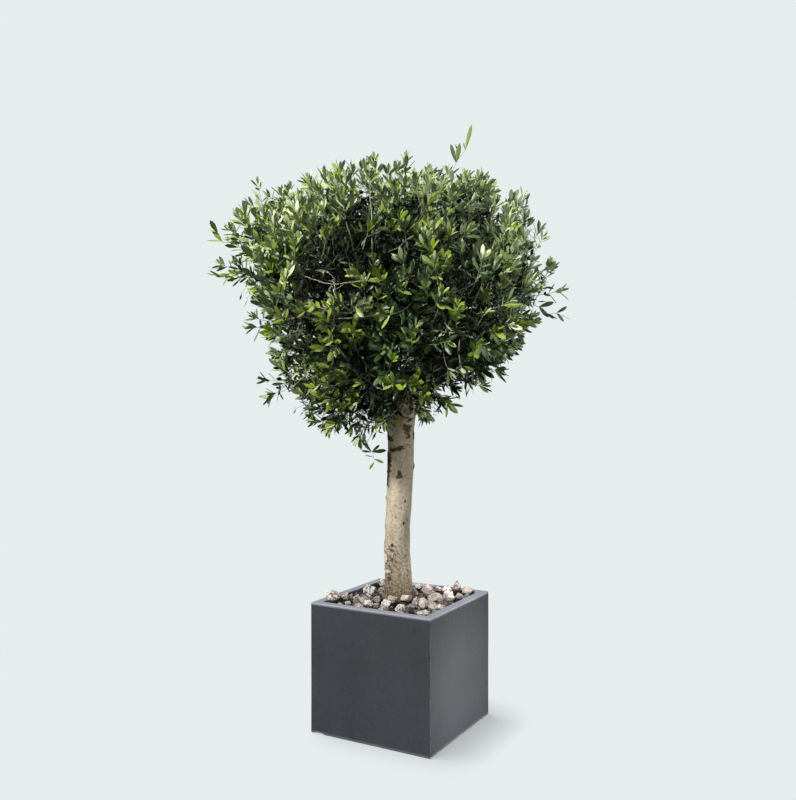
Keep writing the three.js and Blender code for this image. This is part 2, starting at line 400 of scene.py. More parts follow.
# Each lamp has a name, a kind, a place, a target, an energy, a colour and the settings of its kind.
# The key comes from above on the left. The others lift the planter's right side, the trunk's head
# and the stones.
LAMPS = (
    ("key", "SUN", tree_point(-2.6, -2.2, 4.0), (0.0, 0.0, 1.2), 5.2, KEY_TONE, {"angle": KEY_ANGLE}),
    ("side", "AREA", (3.2, 0.9, 0.8), (0.25, 0.0, 0.3), 45.0, (1.0, 1.0, 1.0), SOFT_BOX),
    ("low", "SPOT", (3.2, 0.35, 0.20), (0.25, 0.0, 0.19), 790.0, WARM, spot(15.5, 0.5, 0.25)),
    ("under", "SPOT", tree_point(0.5, -2.6, 0.70), (0.0, 0.0, 0.98), 75.0, WARMER, spot(14.0, 1.0, 0.1)),
    ("stones", "SPOT", STONES_LAMP, tree_point(0.10, 0.11, 0.48), 600.0, NEAR_WHITE, spot(5.0, 1.0, 0.05)),
)


def make_light():
    world = bpy.data.worlds.new("studio")
    world.use_nodes = True
    nodes, links = world.node_tree.nodes, world.node_tree.links
    sky = nodes["Background"]
    sky.inputs["Color"].default_value = SKY_TONE
    place = nodes.new("ShaderNodeTexCoord")
    parts = nodes.new("ShaderNodeSeparateXYZ")
    links.new(place.outputs["Generated"], parts.inputs[0])
    links.new(map_range(nodes, links, parts.outputs["Z"], SKY_LEVELS), sky.inputs["Strength"])
    bpy.context.scene.world = world
    for name, kind, place, target, energy, color, settings in LAMPS:
        data = bpy.data.lights.new(name, kind)
        data.energy = energy
        data.color = color
        for key, value in settings.items():
            setattr(data, key, value)
        lamp = bpy.data.objects.new(name, data)
        lamp.location = place
        lamp.rotation_euler = (Vector(target) - lamp.location).to_track_quat("-Z", "Y").to_euler()
        bpy.context.scene.collection.objects.link(lamp)
    bpy.context.scene.view_settings.view_transform = "Standard"


# ------------------------------------------------------------------ the space the crown fills

HEART = tree_point(-0.04, 0.0, 1.58)  # the crown is star-shaped about this point
DIRECTIONS = 4200  # in which the crown's reach is known
BRIDGE = math.radians(9.0)  # dips between masses narrower than this are filled
EASE = math.radians(3.6)
CONE = math.radians(5.5)  # a direction's reach is that of the samples this close to it
SLOPE_CONE = math.radians(7.0)
BLOCK = 600  # directions that are dealt with at once
# Where the crown bulges or dips beyond the plain masses: across and up, degrees wide, metres.
SWELLS = (
    (-0.61, 1.75, 6.0, 0.020),
    (-0.48, 2.02, 8.0, 0.075),
    (-0.41, 2.06, 4.0, -0.040),
    (-0.34, 2.11, 4.0, 0.020),
    (-0.25, 2.15, 6.0, -0.055),
    (-0.09, 2.15, 7.0, -0.070),
    (0.20, 2.12, 4.0, 0.035),
    (0.38, 2.08, 6.0, -0.070),
    (0.48, 1.95, 9.0, 0.025),
    (0.54, 1.73, 6.0, -0.085),
    (0.55, 1.58, 7.0, 0.085),
    (0.51, 1.47, 6.0, -0.045),
    (0.38, 1.33, 12.0, -0.095),
    (0.16, 1.21, 10.0, 0.050),
    (-0.17, 1.11, 8.0, 0.045),
    (-0.32, 1.12, 6.0, -0.025),
    (-0.43, 1.24, 8.0, 0.030),
    (-0.50, 1.39, 8.0, 0.020),
    (-0.58, 1.55, 13.0, -0.185),
)


def mesh_arrays(name):
    """Vertices and triangles of a CAD node."""
    mesh = frame["nodes"][name].data
    mesh.calc_loop_triangles()
    vertices = np.array([vertex.co for vertex in mesh.vertices], float)
    return vertices, np.array([triangle.vertices for triangle in mesh.loop_triangles])


def spiral_directions(count):
    """Even directions over a sphere."""
    index = np.arange(count)
    level = 1.0 - 2.0 * (index + 0.5) / count
    angle = index * math.pi * (3.0 - math.sqrt(5.0))
    flat = np.sqrt(1.0 - level * level)
    return np.stack([flat * np.cos(angle), flat * np.sin(angle), level], 1)


def from_heart(points):
    """Directions and distances from the crown's heart."""
    away = np.atleast_2d(points) - HEART
    distance = np.linalg.norm(away, axis=1)
    return away / distance[:, None], distance


def angles_between(first, second):
    return np.arccos(np.clip(first @ second, -1.0, 1.0))


class CrownSpace:
    """How far the crown reaches from its heart in each direction, from the CAD masses."""

    def __init__(self):
        samples = []
        for name in MASSES:
            vertices, triangles = mesh_arrays(name)
            samples += [vertices, vertices[triangles].mean(1)]
        facing, distance = from_heart(np.concatenate(samples))
        self.grid = spiral_directions(DIRECTIONS)
        reach = np.zeros(DIRECTIONS)
        for begin in range(0, DIRECTIONS, BLOCK):
            block = slice(begin, begin + BLOCK)
            close = self.grid[block] @ facing.T > math.cos(CONE)
            reach[block] = np.where(close, distance[None], 0.0).max(1)
        alike = self.grid @ self.grid.T
        bridged = alike > math.cos(BRIDGE)
        reach = np.array([reach[row].max() for row in bridged])
        reach = np.array([reach[row].min() for row in bridged])
        weight = bell(np.arccos(np.clip(alike, -1, 1)), EASE)
        self.reach = (weight @ reach) / weight.sum(1)
        for across, up, width, amount in SWELLS:
            toward = unit(tree_point(across, 0.0, up) - HEART)
            self.reach += amount * bell(angles_between(self.grid, toward), math.radians(width))
        self.slope = np.zeros((DIRECTIONS, 3))
        for index in range(DIRECTIONS):
            near = np.nonzero(alike[index] > math.cos(SLOPE_CONE))[0]
            change = self.reach[near] - self.reach[index]
            self.slope[index] = np.linalg.lstsq(self.grid[near] - self.grid[index], change, rcond=0.05)[0]
        self.tree = KDTree(DIRECTIONS)
        for index, direction in enumerate(self.grid):
            self.tree.insert(direction, index)
        self.tree.balance()

    def look(self, points):
        """How deep points lie under the crown's surface, and which way is out."""
        facing, distance = from_heart(points)
        found = np.array([self.tree.find(direction)[1] for direction in facing])
        slope = self.slope[found]
        reach = self.reach[found] + (slope * (facing - self.grid[found])).sum(1)
        across = slope - facing * (slope * facing).sum(1, keepdims=True)
        outward = unit(facing - across / reach[:, None])
        return (reach - distance) * (outward * facing).sum(1), outward


# ------------------------------------------------------------------ growth

GROWTH_SEED = 4
TARGETS = 6100  # points that twigs reach for
TRIALS = 12000  # places tried at once for them
STEP = 0.020  # between the points of a twig
REACH = 0.34  # how far a target pulls
ARRIVED = 0.022  # how near a twig comes to its target
ROUNDS = 140
ROOM = 30000  # points that the growing tree may have
RECENT = 900  # points that a new one is kept apart from
GAP = 0.35  # of a step, between new points
WANDER = 0.16  # how much a twig strays from its course
RISE = 0.05  # and how much it turns up
SHELL_DEPTH = 0.090  # how far below the crown's surface the targets begin
SHELL_LUMPS = 0.05  # and how much that varies from place to place
LUMP_SCALE = 4.0
SHELL_FADE = 0.24  # how soon targets thin out towards the middle
TOP_HOLLOW = 0.48  # how much deeper they begin at the top, where only single shoots rise
FOOT_FULL = 0.45  # and how much less deep underneath, since shoots turn upward
# How much sparser the crown is at its left and right ends, and the share of twigs there that have lost
# their old leaves: amounts that set in from one place across to another.
THIN = ((0.40, -0.28, -0.55), (0.25, 0.26, 0.52))
BARE = ((0.60, -0.18, -0.40), (0.45, 0.18, 0.40))
CROWN_FOOT = 1.08  # under this height there is no target
LOWEST_SHOOT = 1.12  # and under this no shoot starts
# Places at the front where the crown is closed in any case.
FILLS = ((-0.41, -0.06, 1.85), (0.38, -0.06, 1.84), (-0.19, -0.06, 1.19))
FILL_COUNT = 40
FILL_REACH = 0.045
CLUMP_SCALE = 8.0  # of the clumps that targets lie in
VIGOUR_SCALE = 5.5  # of the patches where shoots are longer


def field(points, scale, shift=0.0):
    """A smooth random value for each point, about -0.7 to 0.7."""
    moved = np.atleast_2d(points) * scale + shift
    return np.array([noise.noise(Vector(point)) for point in moved])


def limb_line(name, count=7):
    """The middle line of a CAD limb, from its lower end to its upper one."""
    points, _ = mesh_arrays(name)
    middle = points.mean(0)
    _, _, axes = np.linalg.svd(points - middle, full_matrices=False)
    axis = axes[0] * (1 if axes[0][2] > 0 else -1)
    groups = np.array_split(np.argsort((points - middle) @ axis), count)
    return np.array([points[group].mean(0) for group in groups])


class Skeleton:
    """The crown's limbs as joined points, each with a place and a parent."""

    def __init__(self):
        self.places = []
        self.parents = []

    def add(self, place, parent):
        self.places.append(np.asarray(place, float))
        self.parents.append(parent)
        return len(self.places) - 1


def seed_limbs(skeleton, fork):
    """Lays points from the fork along the CAD boughs, and says how many there are."""
    root = skeleton.add(fork, -1)
    for name in BOUGHS:
        ends = [fork, *limb_line(name)[1:]]
        previous = root
        for start, end in zip(ends, ends[1:]):
            pieces = max(1, round(np.linalg.norm(end - start) / STEP))
            for k in range(1, pieces + 1):
                previous = skeleton.add(start + (end - start) * k / pieces, previous)
    return len(skeleton.places)


def crown_targets(space, rng):
    """Where twigs are to end: most in the outer shell, fewer towards the middle, in clumps."""
    wanted = TARGETS
    chosen = [tree_point(*place) + rng.normal(0.0, FILL_REACH, (FILL_COUNT, 3)) for place in FILLS]
    while wanted > 0:
        trial = rng.uniform(np.array(cad_low), np.array(cad_high), (TRIALS, 3))
        trial = trial[trial[:, 2] > CROWN_FOOT]
        depth, outward = space.look(trial)
        rising = outward[:, 2]
        start = SHELL_DEPTH + SHELL_LUMPS * field(trial, LUMP_SCALE, 31.0) * 1.6
        start *= 1.0 + TOP_HOLLOW * np.clip(rising, 0, 1) - FOOT_FULL * np.clip(-1.5 * rising, 0, 1)
        chance = np.exp(-np.maximum(depth - start, 0.0) / SHELL_FADE)
        chance *= smoothstep(-0.16, 0.26, field(trial, CLUMP_SCALE))
        across, below_top = trial @ ACROSS, smoothstep(2.00, 1.86, trial[:, 2])
        for amount, first, last in THIN:
            chance *= 1.0 - amount * smoothstep(first, last, across) * below_top
        trial = trial[(depth > start) & (rng.random(len(trial)) < chance)][:wanted]
        chosen.append(trial)
        wanted -= len(trial)
    return np.concatenate(chosen)


def grow(skeleton, targets, rng):
    """Space colonisation: each target pulls the nearest point of the tree until a twig is there."""
    places = np.zeros((ROOM, 3))
    count = len(skeleton.places)
    places[:count] = skeleton.places
    near = np.full(len(targets), np.inf)
    nearest = np.zeros(len(targets), int)

    def look(begin, end):
        apart = np.linalg.norm(targets[:, None, :] - places[None, begin:end, :], axis=2)
        best = apart.argmin(1)
        closest = apart[np.arange(len(targets)), best]
        closer = closest < near
        near[closer] = closest[closer]
        nearest[closer] = best[closer] + begin

    look(0, count)
    alive = near > ARRIVED
    for _ in range(ROUNDS):
        pulling = alive & (near < REACH)
        if not pulling.any():
            pulling = alive
            if not pulling.any():
                break
        pull = np.zeros((count, 3))
        np.add.at(pull, nearest[pulling], unit(targets[pulling] - places[nearest[pulling]]))
        growing = np.unique(nearest[pulling])
        direction = unit(unit(pull[growing]) + rng.normal(0.0, WANDER, (len(growing), 3)) + RISE * UP)
        added = []
        for parent, place in zip(growing, places[growing] + direction * STEP):
            gap = np.linalg.norm(places[max(0, count - RECENT) : count] - place, axis=1)
            if gap.size == 0 or gap.min() >= STEP * GAP:
                added.append((parent, place))
        if not added:
            fresh = places[growing] + unit(rng.normal(0.0, 1.0, (len(growing), 3))) * STEP
            added = list(zip(growing, fresh))
        begin = count
        for parent, place in added:
            places[count] = place
            skeleton.add(place, int(parent))
            count += 1
        look(begin, count)
        alive &= near > ARRIVED


def relax(skeleton, fixed, rounds=2):
    """Eases the kinks out of the twigs, each point towards its parent and its first child."""
    places = np.array(skeleton.places)
    parents = np.array(skeleton.parents)
    child = np.full(len(places), -1)
    for index in range(len(places) - 1, 0, -1):
        child[parents[index]] = index
    inner = np.arange(fixed, len(places))
    inner = inner[child[inner] >= 0]
    for _ in range(rounds):
        middle = (places[parents[inner]] + places[child[inner]]) / 2
        places[inner] = places[inner] * 0.5 + middle * 0.5
    skeleton.places = list(places)


TWIG_TIP = 0.0012  # the radius of a twig that carries no other
TWIG_POWER = 2.25


def pipe_radii(skeleton):
    """Each limb carries what its twigs add up to."""
    load = np.zeros(len(skeleton.places))
    for index in range(len(load) - 1, -1, -1):
        if load[index] == 0.0:
            load[index] = TWIG_TIP**TWIG_POWER
        if skeleton.parents[index] >= 0:
            load[skeleton.parents[index]] += load[index]
    return load ** (1.0 / TWIG_POWER)


def stations(line):
    """How far along a line each of its points is."""
    return np.concatenate([[0.0], np.cumsum(np.linalg.norm(np.diff(line, axis=0), axis=1))])


def point_along(line, at):
    """The points of a line at one or more distances along it."""
    steps = stations(line)
    return np.stack([np.interp(at, steps, line[:, k]) for k in range(3)], -1)


def eased(line, rounds):
    for _ in range(rounds):
        line[1:-1] = line[1:-1] * 0.5 + (line[:-2] + line[2:]) * 0.25
    return line


def beside(tangent, steep):
    """A level direction square to a line, or one square to ACROSS where the line is steep."""
    side = np.cross(tangent, UP if abs(tangent[2]) < steep else ACROSS)
    return side / np.linalg.norm(side)


# ------------------------------------------------------------------ tubes


class Tubes:
    """Many tapering tubes in one mesh."""

    def __init__(self):
        self.vertices, self.quads, self.tris = [], [], []
        self.count = 0

    def add(self, line, radii, sides, closed_tip=True, relief=None):
        line = np.asarray(line, float)
        tangents = unit(np.gradient(line, axis=0))
        side = beside(tangents[0], 0.9)
        angles = np.arange(sides) * 2.0 * math.pi / sides
        for tangent, place, radius in zip(tangents, line, radii):
            side = side - tangent * np.dot(side, tangent)
            side /= max(np.linalg.norm(side), 1e-9)
            other = np.cross(tangent, side)
            spokes = np.cos(angles)[:, None] * side + np.sin(angles)[:, None] * other
            ring = place + radius * spokes
            self.vertices.append(ring if relief is None else ring + spokes * relief(ring, radius)[:, None])
        self.quads.append(sleeve(self.count, len(line), sides))
        self.count += len(line) * sides
        if closed_tip:
            self.vertices.append((line[-1] + tangents[-1] * radii[-1])[None])
            self.tris.append(fan(self.count - sides, self.count, sides))
            self.count += 1

    def build(self, name, material):
        quads = np.concatenate(self.quads)
        tris = np.concatenate(self.tris) if self.tris else np.zeros((0, 3), int)
        return mesh_object(name, np.concatenate(self.vertices), [quads, tris], [material])


def chains(skeleton, radii):
    """The skeleton as runs of points: each goes on along its thickest child."""
    children = [[] for _ in skeleton.places]
    for index, parent in enumerate(skeleton.parents):
        if parent >= 0:
            children[parent].append(index)
    runs = []
    starts = [(0, index) for index in children[0]]
    while starts:
        run = list(starts.pop())
        while children[run[-1]]:
            ordered = sorted(children[run[-1]], key=lambda child: -radii[child])
            starts += [(run[-1], child) for child in ordered[1:]]
            run.append(ordered[0])
        runs.append(run)
    return runs, children


# ------------------------------------------------------------------ leaves

# Stations along a leaf and how wide it is there. The upper face has a raised midrib, and the lower one
# is flat. Leaves inside the crown have fewer faces.
FULL_LEAF = ((0.25, 0.60), (0.56, 1.0), (0.83, 0.74))
INNER_LEAF = ((0.5, 1.0),)
LEAF_RIDGE = 0.13  # the midrib's height as a share of the width


def leaf_template(stations):
    """Vertices as (along, across, height), and the triangles of the upper and the lower face."""
    upper = [(0.0, 0.0, 0.0)]
    lower = [(0.0, 0.0, 0.0)]
    for station, width in stations:
        upper += [(station, -width, 0.0), (station, 0.0, 1.0), (station, width, 0.0)]
        lower += [(station, -width, 0.0), (station, width, 0.0)]
    upper.append((1.0, 0.0, 0.0))
    lower.append((1.0, 0.0, 0.0))
    tip = len(upper) - 1
    top = [(0, 2, 1), (0, 3, 2)]
    under = [(0, 1, 2)]
    for k in range(len(stations) - 1):
        left, middle, right = 1 + 3 * k, 2 + 3 * k, 3 + 3 * k
        top += [(left, middle, middle + 3), (left, middle + 3, left + 3)]
        top += [(middle, right, right + 3), (middle, right + 3, middle + 3)]
        left, right = 1 + 2 * k, 2 + 2 * k
        under += [(left, left + 2, right), (right, left + 2, right + 2)]
    left = tip - 3
    top += [(left, left + 1, tip), (left + 1, left + 2, tip)]
    left = len(lower) - 3
    under += [(left, len(lower) - 1, left + 1)]
    faces = top + [tuple(len(upper) + corner for corner in face) for face in under]
    return np.array(upper + lower), np.array(faces), len(top)


class Leaves:
    """Collects leaves, then lays the leaf template along each."""

    def __init__(self, stations):
        self.rows = []
        self.stations = stations

    def add(self, place, along, normal, length, width, bend, tone):
        self.rows.append((*place, *along, *normal, length, width, bend, tone))

    def build(self, name, rows, materials):
        template, faces, upper_faces = leaf_template(self.stations)
        place, along, normal = rows[:, 0:3], unit(rows[:, 3:6]), rows[:, 6:9]
        length, width, bend = rows[:, 9:10], rows[:, 10:11], rows[:, 11:12]
        normal = unit(normal - along * (normal * along).sum(1, keepdims=True))
        across = np.cross(along, normal)
        u, v, w = (template[None, :, k] for k in range(3))
        forward = length * u
        lift = bend * length * u * u + w * LEAF_RIDGE * width
        shape = (
            place[:, None, :]
            + forward[:, :, None] * along[:, None, :]
            + (v * width / 2)[:, :, None] * across[:, None, :]
            + lift[:, :, None] * normal[:, None, :]
        )
        count = len(rows)
        vertices = shape.reshape(-1, 3)
        triangles = (faces[None] + (np.arange(count) * len(template))[:, None, None]).reshape(-1, 3)
        tone = rows[:, 12].astype(int)
        per_leaf = np.empty((count, len(faces)), int)
        per_leaf[:, :upper_faces] = tone[:, None]
        # Leaves with the dark, shaded tones get the dark underside: painted shade.
        per_leaf[:, upper_faces:] = (len(LEAF_TONES) + (tone >= DARK))[:, None]
        return mesh_object(name, vertices, triangles, materials, per_leaf.ravel())


# Leaf colours. The young tone is the colour of new growth; the others are partly the leaves' own colours
# and partly painted light and shade, dealt by how deep, low and to which side a leaf lies.
LEAF_TONES = {
    "leaf_young": srgb(126, 147, 44),
    "leaf_silver": srgb(184, 195, 150),
    "leaf_bright": srgb(142, 162, 80),
    "leaf_middle": srgb(112, 135, 66),
    "leaf_grey": srgb(98, 117, 82),
    "leaf_dark": srgb(38, 60, 26),
    "leaf_deep": srgb(8, 22, 6),
}
LEAF_UNDERS = {
    "leaf_under": srgb(158, 168, 134),
    "leaf_under_dark": srgb(42, 56, 34),
}
LEAF_SHINES = {"leaf_dark": 0.35, "leaf_deep": 0.12}
YOUNG, SILVER, BRIGHT, MIDDLE, GREY, DARK, BLACKISH = range(len(LEAF_TONES))
LEAF_LENGTH = 0.049
STEM_ROOM = 0.012  # how far a shoot may reach past the CAD model's box
LEAF_ROOM = 0.036  # and how far the tip of a leaf may
LEAF_RATIO = (0.27, 0.35)  # of width to length
TIP_SPREAD = 0.42  # the angle between a leaf and its shoot at the tip
FOOT_SPREAD = 1.05  # and at the foot
FAN_STEPS = (0.011, 0.008, 0.005)  # between the last pairs of leaves of a shoot
LEAF_GAP = (0.018, 0.026)  # between the others
TIP_LEAF = (0.036, 0.009)  # length and width of the single leaf at a tip
# Painted shade: a leaf is given a darker tone the deeper it lies, the farther it is from its shoot's tip
# and the lower it is.
SHADE_DEPTH = 0.11
SHADE_FROM_TIP = 0.33
SHADE_SPREAD = 0.22
TONE_LEVEL = 1.66  # the height at which leaves have the middle tones
TONE_RISE = 2.0
# Painted light: how much lighter the tones are on the crown's left, right and top; and where young leaves
# are rarer: amounts that set in from one place, across or up, to another.
PAINTED_LIGHT_ACROSS, PAINTED_LIGHT_UP = ((0.75, -0.08, -0.42), (0.30, 0.15, 0.42)), ((0.45, 1.85, 2.05),)
RARE_ACROSS, RARE_UP = ((0.30, 0.05, 0.35), (0.12, -0.30, -0.50)), ((0.28, 1.75, 2.00),)
YOUNG_SHARE = 0.50
# Up to each level of painted shade, the share of leaves with the first of two tones.
TONE_STEPS = (
    (0.80, 0.55, BRIGHT, MIDDLE),
    (1.25, 0.55, MIDDLE, GREY),
    (1.75, 0.35, GREY, DARK),
    (2.60, 0.12, GREY, DARK),
)
OLD_TONES = ((0.05, SILVER), (0.28, GREY), (0.78, DARK))  # old leaves, by the share up to each tone


def leaf_materials():
    made = [Finish(name, color, 0.38, LEAF_SHINES.get(name, 0.5)) for name, color in LEAF_TONES.items()]
    made += [Finish(name, color, 0.6, 0.3) for name, color in LEAF_UNDERS.items()]
    return [finish.material for finish in made]


def fits(point, room):
    """Whether a point lies inside the CAD model's box, or no farther outside it than some room."""
    return bool(np.all(point > np.array(cad_low) - room) and np.all(point < np.array(cad_high) + room))


def about(tangent, angle):
    """A direction square to a shoot, at an angle about it."""
    side = beside(tangent, 0.85)
    return math.cos(angle) * side + math.sin(angle) * np.cross(tangent, side)


class Foliage:
    """Leafy shoots: opposite pairs of leaves, each pair turned a quarter from the last."""

    def __init__(self, space, rng):
        self.space = space
        self.rng = rng
        self.leaves = Leaves(FULL_LEAF)
        self.inner = Leaves(INNER_LEAF)
        self.stems = Tubes()

    def pair(self, place, tangent, outward, turn, size, spread, tone, missing=0.05):
        """Two opposite leaves at a node, their upper faces towards the tip and the light."""
        rng = self.rng
        facing = rng.uniform(0.0, 0.9)
        for half in (0.0, math.pi):
            if rng.random() < missing:
                continue
            out = about(tangent, turn + half + rng.normal(0.0, 0.25))
            lean = np.clip(spread + rng.normal(0.0, 0.14), 0.12, 1.5)
            along = math.cos(lean) * tangent + math.sin(lean) * out
            normal = tangent - along * np.dot(tangent, along) + 0.25 * UP + facing * outward
            normal = normal + rng.normal(0.0, 0.25, 3)
            length = size * rng.uniform(0.82, 1.18)
            width = length * rng.uniform(*LEAF_RATIO)
            bend = rng.normal(-0.04, 0.08)
            if fits(place + unit(along) * length, LEAF_ROOM):
                self.leaves.add(place, along, normal, length, width, bend, tone)

    def tone(self, vigour, place, depth, from_tip):
        """Young leaves lie at the tips of vigorous shoots. The other tones are painted light and shade:
        dark ones low and deep in the crown, silver and bright ones high and at the sides.
        """
        rng = self.rng
        across, up = place @ ACROSS, place[2]
        shade = depth / SHADE_DEPTH + from_tip * SHADE_FROM_TIP - (up - TONE_LEVEL) * TONE_RISE
        shade += rng.normal(0.0, SHADE_SPREAD) - total(PAINTED_LIGHT_ACROSS, across) - total(PAINTED_LIGHT_UP, up)
        rarer = total(RARE_ACROSS, across) + total(RARE_UP, up)
        if vigour > YOUNG_SHARE + rarer and from_tip < 3 and shade < 3.0:
            return YOUNG if rng.random() < 0.75 else BRIGHT
        if shade < 0.55 and rng.random() < (0.74 if shade < -0.4 else 0.40):
            return SILVER
        for limit, share, first, second in TONE_STEPS:
            if shade < limit:
                return first if rng.random() < share else second
        return BLACKISH

    def stem(self, start, direction, length):
        """The points of a shoot that bends upward as it goes, where its leaves sit."""
        rng = self.rng
        place = np.array(start, float)
        tangent = unit(direction)
        steps = list(FAN_STEPS[: rng.integers(2, 4)])
        while sum(steps) < length:
            steps.insert(0, rng.uniform(*LEAF_GAP))
        line = [place]
        lift = rng.uniform(0.02, 0.12)
        for step in steps:
            tangent = unit(tangent + lift * UP + rng.normal(0.0, 0.06, 3))
            place = place + tangent * step
            if not fits(place, STEM_ROOM):
                break
            line.append(place)
        return line

    def shoot(self, start, direction, length, vigour, radius, outward):
        """A leafy shoot from a point."""
        rng = self.rng
        line = self.stem(start, direction, length)
        if len(line) < 2:
            return
        depths, _ = self.space.look(np.array(line))
        turn = rng.uniform(0.0, math.pi)
        girth = rng.uniform(0.8, 1.15)
        for k in range(1, len(line)):
            along = unit(line[k] - line[k - 1])
            from_tip = len(line) - 1 - k
            size = LEAF_LENGTH * girth * (0.72 if from_tip == 0 else 1.0)
            spread = TIP_SPREAD + (FOOT_SPREAD - TIP_SPREAD) * min(from_tip / 4.0, 1.0)
            tone = self.tone(vigour, line[k], depths[k], from_tip)
            missing = 0.0 if from_tip < 3 else 0.35
            self.pair(line[k], along, outward, turn, size, spread, tone, missing)
            turn += math.pi / 2
        tone = self.tone(vigour, line[-1], depths[-1], 0)
        ahead = along + rng.normal(0, 0.12, 3)
        self.leaves.add(line[-1], ahead, rng.normal(0, 1, 3), *TIP_LEAF, 0.0, tone)
        self.stems.add(line, np.linspace(radius, 0.0007, len(line)), 3)

    def old_leaves(self, place, tangent, count, shade):
        """Narrow old leaves round a twig inside the crown, at all angles."""
        rng = self.rng
        for _ in range(count):
            along = unit(tangent * rng.uniform(0.0, 0.9) + unit(rng.normal(0.0, 1.0, 3)))
            length = rng.uniform(0.026, 0.050)
            width = length * rng.uniform(0.14, 0.24)
            start = place + tangent * rng.uniform(-0.01, 0.01)
            # Deeper in the crown the draw leans to darker tones: painted shade.
            drawn = rng.random() + 0.35 * shade
            tone = next((tone for share, tone in OLD_TONES if drawn < share), BLACKISH)
            self.inner.add(start, along, rng.normal(0.0, 1.0, 3) + 0.4 * UP, length, width, 0.0, tone)


# Twig bark. Twigs deep in the crown mostly get the dark one: partly older bark, partly painted shade.
TWIG_BARKS = {
    "twig_pale": srgb(170, 166, 142),
    "twig_dark": srgb(60, 60, 44),
}
THICK = 0.0045  # limbs over this radius have the relief of bark
LIMB_STEP = 0.009
FLARE = 0.5  # how much wider a limb is where it leaves the one below
FLARE_REACH = 0.03


def finer(line, radii):
    """A limb in short steps, eased, and wider at its foot."""
    steps = stations(line)
    at = np.linspace(0.0, steps[-1], max(3, int(steps[-1] / LIMB_STEP)))
    widths = np.interp(at, steps, radii) * (1.0 + FLARE * np.exp(-at / FLARE_REACH))
    return eased(point_along(line, at), 3), widths


def bark_relief(points, radius):
    """Swellings and rough bark, in metres, on a limb."""
    swelling = 0.16 * radius * field(points, 24.0, 11.0)
    return swelling + (0.0003 + 0.05 * radius) * noise_field(points, 120.0, 2, 19.0)


def bough_bark():
    made = Finish("bough_bark", srgb(112, 104, 90), 0.86, 0.25)
    color = made.blend(made.noise(11.0, 3.0), 0.38, 0.62, srgb(92, 84, 70), srgb(142, 133, 114))
    color = made.mottle(color, made.noise(42.0, 4.0), 0.44, 0.60, 0.55, srgb(74, 64, 50))
    color = made.mottle(color, made.noise(70.0, 3.0, 0.7), 0.58, 0.66, 0.60, srgb(170, 168, 152))
    made.color(color)
    made.bump(made.math("ADD", made.noise(260.0, 4.0), made.noise(640.0, 3.0)), 0.0009, 0.8)
    return made.material


# Pale stems that stand clear at the front of the crown: radius at the foot, and points from the
# foot to the tip as (across, deep, up).
FRONT_STEMS = (
    (
        0.0030,
        ((-0.141, -0.34, 1.665), (-0.166, -0.41, 1.745), (-0.188, -0.44, 1.830), (-0.206, -0.43, 1.915)),
    ),
    (0.0017, ((-0.188, -0.44, 1.830), (-0.232, -0.44, 1.872), (-0.268, -0.42, 1.908))),
    (0.0032, ((-0.104, -0.36, 1.680), (-0.101, -0.43, 1.800), (-0.110, -0.41, 1.935))),
    (0.0042, ((-0.020, -0.38, 1.600), (-0.060, -0.45, 1.622), (-0.121, -0.43, 1.634))),
    (0.0024, ((-0.121, -0.43, 1.634), (-0.235, -0.46, 1.615), (-0.326, -0.44, 1.645))),
    (0.0024, ((-0.034, -0.42, 1.528), (-0.130, -0.48, 1.508), (-0.222, -0.47, 1.502))),
    (0.0024, ((0.134, -0.40, 1.581), (0.220, -0.44, 1.612), (0.292, -0.40, 1.666))),
)
# Leaves are missing in front of them, to this far on each side, over this share of each piece, and
# to this far behind.
CLEAR_WIDTH, CLEAR_SHARE, CLEAR_BEHIND = 0.020, 0.92, 0.06
STEM_POINTS = 16
CLEAR_TRUNK = (0.078, 1.165, 0.1)  # half width, top and back of the space kept clear by the trunk's head


def clearing(place):
    """Whether leaves here would hide a front stem or the head of the trunk."""
    across, deep, up = place @ ACROSS, place @ DEEP, place[2]
    half_width, top, back = CLEAR_TRUNK
    if abs(across) < half_width and up < top and deep < back:
        return True
    for _, points in FRONT_STEMS:
        for start, end in zip(np.array(points), np.array(points[1:])):
            line = (end - start)[[0, 2]]
            share = np.dot((across - start[0], up - start[2]), line) / np.dot(line, line)
            nearest = start + (end - start) * np.clip(share, 0.0, CLEAR_SHARE)
            beyond = math.hypot(across - nearest[0], up - nearest[2])
            if beyond < CLEAR_WIDTH and deep < nearest[1] + CLEAR_BEHIND:
                return True
    return False


def front_stems(foliage, places, twigs):
    """The pale stems, each from the nearest twig or from the stem that it forks off."""
    rng = foliage.rng
    made = []
    for radius, points in FRONT_STEMS:
        line = np.array([tree_point(*point) for point in points])
        forks = any(np.allclose(line[0], other) for other in made)
        made += list(line)
        if not forks:
            inner = places[np.linalg.norm(places - line[0] * 0.8 - HEART * 0.2, axis=1).argmin()]
            line = np.concatenate([[inner, (inner + line[0]) / 2 + 0.01 * UP], line])
        fine = eased(point_along(line, np.linspace(0.0, stations(line)[-1], STEM_POINTS)), 4)
        fine[1:-1] += rng.normal(0.0, 0.0012, (STEM_POINTS - 2, 3))
        twigs.add(fine, np.linspace(radius, TWIG_TIP, STEM_POINTS), 6)
        ahead = unit(fine[-1] - fine[-3])
        for _ in range(3):
            heading = ahead + rng.normal(0.0, 0.35, 3) + 0.3 * UP
            foliage.shoot(fine[-1], heading, rng.uniform(0.03, 0.06), 0.9, 0.0011, -DEEP)


def bare_twig(twigs, place, tangent, rng):
    """A short dead twig, at any angle."""
    direction = unit(tangent * 0.3 + rng.normal(0.0, 0.7, 3))
    length = rng.uniform(0.03, 0.085)
    bend = rng.normal(0.0, 0.012, 3)
    line = [place, place + direction * length * 0.5 + bend, place + direction * length]
    twigs.add(line, (0.0010, 0.0008, 0.0005), 3, closed_tip=False)
    return line[-1], direction


